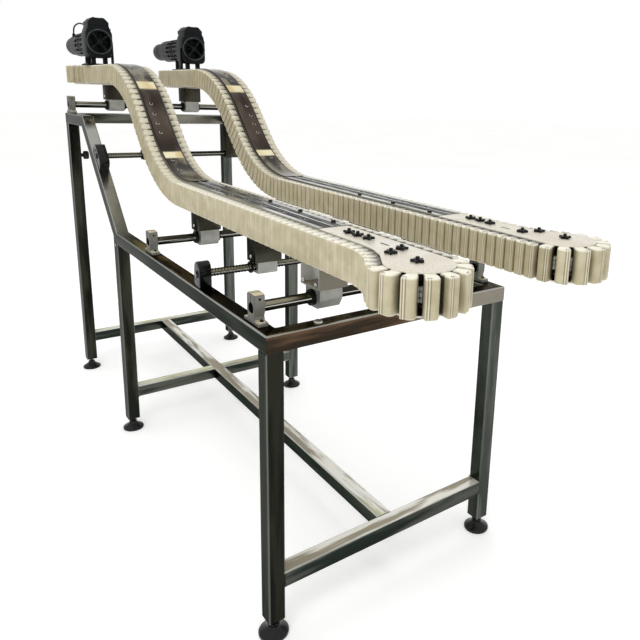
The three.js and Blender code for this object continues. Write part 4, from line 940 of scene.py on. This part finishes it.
# The panel, the bands and the rest of the sheet are painted reflections; the hem is darker along the long edges
panel = painted_reflection_mirror.mix(smear.step(0.4, 0.62), (56, 47, 41), (86, 76, 68),
                          (along.between(*pale_ends, 0.05) * 0.5, (104, 92, 82)))
outer = painted_reflection_mirror.mix(smear.step(0.42, 0.55), (54, 48, 40), (142, 134, 116))
gold = painted_reflection_mirror.mix(smear.step(0.35, 0.7), (255, 246, 206), (226, 204, 150))
painted_reflection_mirror.feed("Base Color", painted_reflection_mirror.mix(
    along.between(*panel_ends, 0.002), outer, panel, (lower_gold.most(upper_gold), gold),
    (across.size().step(*hem), (40, 36, 32))))
painted_reflection_mirror.feed("Roughness", 0.14 + 0.12 * smear)


def strip(u0, u1, v0, v1, h0, h1, step=0.03):
    """A box section laid along the track, with how far along and across it is at each point."""
    count = max(1, math.ceil((u1 - u0) / step))
    stations = [u0 + (u1 - u0) * i / count for i in range(count + 1)]
    loops = [[on_track(u, v, h) for v, h in ((v0, h0), (v0, h1), (v1, h1), (v1, h0))] for u in stations]
    return rings(loops), [(u, v) for u in stations for v in (v0, v0, v1, v1)]


cover_from, cover_to = lower_run - 12 * mm, upper_end + 14 * mm
cover_half, cover_step = 40 * mm, 12 * mm
cover_low, cover_high = 48.5 * mm, 51.5 * mm
cover, places = strip(cover_from, cover_to, -cover_half, cover_half, cover_low, cover_high, cover_step)
for side in sides:
    mesh = merged(f"{side}_slope_cover_sheet", handed([cover], side))
    paint(mesh, along=[u for u, _ in places], across=[v for _, v in places])
    sheet = finish_piece(add_object(mesh.name, mesh), painted_reflection_mirror, f"{side}_conveyor", 40)
    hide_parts(f"{side}_slope_cover")


def on_top(shape, u, v, h):
    """A small part that stands on the track's upper side."""
    ahead, high = track_axes(u)
    return set_on(shape, on_track(u, v, h), high, ahead)


washer = turned([(6.6, 0), (7, 0.3), (6.6, 0.9), (4.6, 0.9)], 20)
dome_head = turned([(5.4, 0.6), (5.4, 1.8), (4.4, 3.2), (2.4, 3.8)], 16)
cover_screws = [2.264, 2.176, 1.994, 1.936, 1.884, 1.832, 1.644, 1.556]
screw_v = -14 * mm
for name, shape, finish in (("cover_washers", washer, white_ring), ("cover_screws", dome_head, dark_steel)):
    add_on_both(name, [on_top(shape, u, screw_v, cover_high) for u in cover_screws], finish)
print("cover with", len(cover_screws), "screws a side")

# %% [markdown]
# ## The profile on the beam
# On the level runs the beam's top is an extruded profile: bright rails, dark grooves, long slots in
# the middle and small bolts that hold the wear strips. It is laid along the track as thin strips.

# %% Beam profile
profile_end = 402 * mm      # how far from each end of the track the profile stops
slot_spacing = 122 * mm
flange_top = 48.2 * mm
rails_at = ((-44.5, -32, 1.2), (-4, 3, 2.0), (27, 44.5, 1.2))
outer_row, inner_row, joint_row = -18 * mm, 15 * mm, 34 * mm
joint_bolt_ys = (480, 285, 100)
runs = ((profile_end, lower_run - 15 * mm), (upper_end + 17 * mm, track_length - profile_end))


def slot_mark(half_width, straight, tip):
    """A flat dark mark of painted shade for the floor of a long slot: its tip is a share of its width."""
    end = [(-1, -straight), (-tip, -straight - 3), (tip, -straight - 3), (1, -straight)]
    outline = [(x * half_width, y) for x, y in end + [(-x, -y) for x, y in end]]
    return stacked(outline, [(0, 0), (0.3, 0.1)])


slot_shape = slot_mark(3.4, 30, 0.6)
joint_bolt = turned([(7, 1), (7, 5), (5, 7)], 18)
rail_parts, slot_parts, bolt_parts, ring_parts = [], [], [], []
for u0, u1 in runs:
    for v0, v1, high in rails_at:
        rail_parts.append(strip(u0, u1, v0 * mm, v1 * mm, flange_top, flange_top + high * mm, 0.2)[0])
    u = u0 + 70 * mm
    while u < u1 - 50 * mm:
        # Each slot is a flat dark mark of painted shade
        slot_parts.append(on_top(slot_shape, u, outer_row, flange_top))
        slot_parts.append(on_top(slot_shape, u + 50 * mm, inner_row, flange_top))
        if u + 60 * mm < u1 - 20 * mm:
            for shape, found in ((washer, ring_parts), (dome_head, bolt_parts)):
                found.append(on_top(shape, u + slot_spacing / 2, outer_row, flange_top))
        u += slot_spacing
for y in joint_bolt_ys:
    bolt_parts.append(on_top(joint_bolt, y * mm - tail_y, joint_row, flange_top))
for name, parts, finish in (("beam_rails", rail_parts, profile_metal), ("beam_slots", slot_parts, slot_black),
                            ("beam_washers", ring_parts, white_ring), ("beam_bolts", bolt_parts, dark_steel)):
    add_on_both(name, parts, finish)
print("profile:", len(rail_parts), "rails,", len(slot_parts), "slots")

# %% [markdown]
# ## Star knobs on the idler plate
# The plate at the low tip is held by black star knobs that a hand can turn, and has one slot for
# tensioning the chain. A star is an outline with five petals, drawn at four heights, with a round
# post in its middle.

# %% Star knobs
knob_shapes = (stacked(round_outline(12, 60, 0.34, 5), [(1.2, 0.8), (2.0, 0), (6.0, 0), (7.4, 1.6)]),
               turned([(4.6, 6.8), (4.6, 11.6), (3.8, 12.8), (2.2, 13.2)], 20),
               turned([(4.4, 0), (4.4, 1.6)], 16))
knob_places = [(-6, -39), (-6, -78), (-3, -120), (-43, -264), (2, -245), (-39, -353)]
tension_slot_y = -183
knob_parts = []
for v, y in knob_places:
    spot = on_track(y * mm - tail_y, v * mm, flange_top)
    turned_by = (math.sin(v), math.cos(v), 0)
    knob_parts += [set_on(shape, spot, (0, 0, 1), turned_by) for shape in knob_shapes]
add_on_both("star_knobs", knob_parts, black_plastic, 40)
# The tension slot is a flat dark mark of painted shade
tension_slot = on_top(slot_mark(2.6, 14, 0.5), tension_slot_y * mm - tail_y, 0, flange_top)
add_on_both("tension_slot", [tension_slot], slot_black)
print(len(knob_places), "knobs a side")

# %% [markdown]
# ## Shaft supports
# A shaft support is cast with a waist between its head and its foot. Its head is slit above the bore
# and a screw pinches it on the shaft. The side view is one closed outline: round the outside, down
# the slit, round the bore and up again. It is then drawn along X.

# %% Shaft supports
shaft_height = 41.7
foot_top = 30.9             # how far the foot's upper side is below the shaft
foot_screw_y = 32.5
bore, slit_half = 15.1, 1.3
clamp_spot = by(0, -22.9, 27)
socket_head = turned([(4.6, 0), (5, 0.4), (5, 4.6), (4.6, 5)], 18)
foot_washer = turned([(8.2, 0), (8.6, 0.3), (8.2, 1.4)], 20)
# The clamp screw's socket is a flat dark disc of painted shade
clamp_hole = turned([(3.4, 0), (3.4, 0.4)], 12)
half_outline = [(42, -41.6), (42, -33), (40.4, -31), (27, -30.4), (21.5, -28), (19, -23), (19.6, -17), (23, -9),
                (23, 32), (20.6, 38), (15, 41), (slit_half, 41)]
bore_turns = [math.radians(5 + 350 * k / 30) for k in range(31)]
support_outline = half_outline + [(bore * math.sin(a), bore * math.cos(a)) for a in bore_turns]
support_outline += [(-y, z) for y, z in reversed(half_outline)]
support_shape = stacked([(-y, z) for y, z in reversed(support_outline)],
                        [(-15, 1.4), (-13.8, 0), (13.8, 0), (15, 1.4)])
screws, holes, washers = [], [], []
for place in ("front", "rear", "top"):
    middle_of = centre_of(f"left_{place}_shaft_support")
    middle_of.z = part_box(f"left_{place}_shaft_support")[0].z + shaft_height * mm
    part = set_on(support_shape, middle_of, *to_left)
    for side in sides:
        node = f"{side}_{place}_support"
        casting = add_parts(f"{node}_casting", handed([part], side), cast_grey, "frame")
        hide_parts(f"{side}_{place}_shaft_support")
        # The faces inside the bore are painted dark as painted shade
        casting.data.materials.append(slot_black.material)
        for face in casting.data.polygons:
            away = math.hypot(face.center.y - middle_of.y, face.center.z - middle_of.z)
            if away < (bore + 0.5) * mm and abs(face.normal.x) < 0.9:
                face.material_index = 1
    for y in (-foot_screw_y, foot_screw_y):
        spot = middle_of + by(0, y, -foot_top)
        washers.append(set_on(foot_washer, spot))
        screws.append(set_on(socket_head, spot + by(0, 0, 1)))
    holes.append(set_on(clamp_hole, middle_of + clamp_spot, *to_front))
for name, parts, finish in (("support_washers", washers, white_ring), ("support_screws", screws, dark_steel),
                            ("support_clamp_holes", holes, slot_black)):
    add_on_both(name, parts, finish, body="frame")
print("six castings,", 2 * len(screws), "foot screws")

# %% [markdown]
# ## Bolts and marks on the slides
# Folded sheet brackets are bolted to their blocks. A bright button screw sits low on each outer side, the front
# bracket has a base flange with two, and a black seal ring closes each table nut.

# %% Slides
button = turned([(6.2, 0), (6.2, 1.6), (4.6, 3.4), (2.2, 4.0)], 18)
seal_ring = turned([(18.6, 0), (19.2, 0.6), (19.2, 5.4), (18.6, 6)], 28)
journal_ring = turned([(12.6, 0), (13, 0.4), (12.4, 1.8), (10.2, 1.8), (9.9, 0.4)], 24)


def outer_x(node, low_z, high_z):
    """How far out a left-hand node reaches between two heights in millimetres."""
    points = frame["nodes"][node].data.vertices
    return min(v.co.x for v in points if (low_z - 1) * mm <= v.co.z <= (high_z + 1) * mm)


# Each sheet's heights in millimetres, and where its buttons are, from its middle along Y.
sheets = (("rear_carrier", 978, 1057, (0,)), ("top_carrier", 1433, 1502, (0,)),
          ("table_nut_carrier", 968, 1057, (0,)), ("front_bracket", 978, 1057, (-34, 34)))
button_up = 14
nut_low, nut_height, nut_high = 927, 947, 965
buttons = []
for node, low_z, high_z, ys in sheets:
    spot = centre_of(f"left_{node}")
    spot.x, spot.z = outer_x(f"left_{node}", low_z, high_z), (low_z + button_up) * mm
    buttons += [set_on(button, spot + by(0, y, 0), *to_left) for y in ys]
add_on_both("bracket_buttons", buttons, bright_steel)
seal_at = centre_of("left_table_nut_carrier")
seal_at.x, seal_at.z = outer_x("left_table_nut_carrier", nut_low, nut_high), nut_height * mm
add_on_both("table_nut_seal", [set_on(seal_ring, seal_at, *to_left)], slot_black)
rings_on = []
for place in ("table", "slope"):
    spot = centre_of(f"{place}_lead_screw")
    spot.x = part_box(f"left_{place}_screw_block")[0].x
    rings_on.append(set_on(journal_ring, spot, *to_left))
add_on_both("screw_block_rings", rings_on, dark_steel, body="frame")
print(len(buttons), "button screws a side")

# %% [markdown]
# ## Drive units
# The fan cover of a motor has a raised ring round its grille and small screws at its corners. The lid
# of its terminal box is screwed down too, and a bright gland takes the lead.

# %% Drive units
low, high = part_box("left_motor")
front_spot = Vector(((low.x + high.x) / 2, low.y, centre_of("left_motor_fan").z))
lid_spot = Vector((front_spot.x, low.y, high.z))
facets = 56
guard_profile = [(61.5, 0), (60.5, 2.4), (58.5, 3.2), (56.5, 2.4), (55.6, 0)]
guard_points, guard_faces = turned(guard_profile, facets)
last = (len(guard_profile) - 1) * facets
inside = [(last + k, last + (k + 1) % facets, (k + 1) % facets, k) for k in range(facets)]
guard = (guard_points, guard_faces[:-2] + inside)    # a band across its back closes it, and not two discs
motor_screw = turned([(4, 0), (4, 1.4), (2.6, 2.6)], 12)
gland_height = 1804
corner_places = ((-52, 62), (52, 62), (-52, -64), (52, -64))
lid_places = ((-20, 12), (-20, 94), (20, 12), (20, 94))
motor_screws = [set_on(motor_screw, front_spot + by(x, 0, z), *to_front) for x, z in corner_places]
motor_screws += [set_on(motor_screw, lid_spot + by(x, y, 0)) for x, y in lid_places]
gland = turned([(9, 0), (9, 5), (7, 6), (7, 12), (6, 13)], 16)
gland_spot = front_spot + by(-40, 109, 0)
gland_spot.z = gland_height * mm
add_on_both("fan_guard_ring", [set_on(guard, front_spot, *to_front)], motor_rim, 60)
add_on_both("motor_screws", motor_screws, dark_steel)
add_on_both("lid_gland", [set_on(gland, gland_spot, (0, 1, 0), (0, 0, 1))], bright_steel)
print("drive units:", len(motor_screws), "screws each")

# %% [markdown]
# ## Small things on the frame
# A round knob stands on the inside of a rear leg, a cap closes the front rail, and small bright
# screws show where panels could be fixed. Weld beads follow the joints of the tubes.

# %% Frame
knob_shape = turned([(9, 0), (9, 9), (19, 12), (21, 15), (21, 30), (18.6, 34), (9, 35)], 28)
knob = set_on(knob_shape, at(-375, 2190, 1151), (1, 0, 0), (0, 0, 1))
add_parts("rear_leg_knob", [knob], black_plastic, smooth=40)
plug_shape = turned([(12.4, 0), (12.8, 0.8), (11.4, 4.6), (8.2, 6.6), (3, 7.2)], 26)
add_parts("front_rail_plug", [set_on(plug_shape, at(-262, 25, 905))], bright_steel)
dot = turned([(4.2, 0), (4.2, 1.2), (2.8, 2.2)], 14)
dot_places = ((-425, 2208, 640), (-425, 1420, 606), (-425, 1400, 850), (425, 30, 520))
dots = [set_on(dot, at(x, y, z), (math.copysign(1, x), 0, 0), (0, 0, 1)) for x, y, z in dot_places]
add_parts("frame_screws", dots, bright_steel)

bead_radius, bead_step, ripple = 2.2, 3.4, 0.25


def bead(start, end):
    """A weld bead: a thin rod whose radius ripples along its length."""
    line = end - start
    count = max(2, round(line.length / (bead_step * mm)))
    profile = [(bead_radius * (1 - ripple + ripple * (k % 2)), line.length / mm * k / count)
               for k in range(count + 1)]
    return set_on(turned(profile, 8), start, line, (0.3, 0.9, 0.4))


tube_low, tube_high, rail_low, rail_high = 152, 202, 855, 904
beads = []
for x in (-375, 375):
    beads += [bead(at(x, 50, tube_low), at(x, 50, tube_high)), bead(at(x, 50, rail_low), at(x, 50, rail_high))]
    beads += [bead(at(x, y, tube_low), at(x, y, tube_high)) for y in (1385, 1435, 2175, 2225)]
add_parts("weld_beads", beads, bead_steel, smooth=60)
print(len(beads), "weld beads")

# %% Size
low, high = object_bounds()
print("size:", [round(v, 3) for v in high - low])
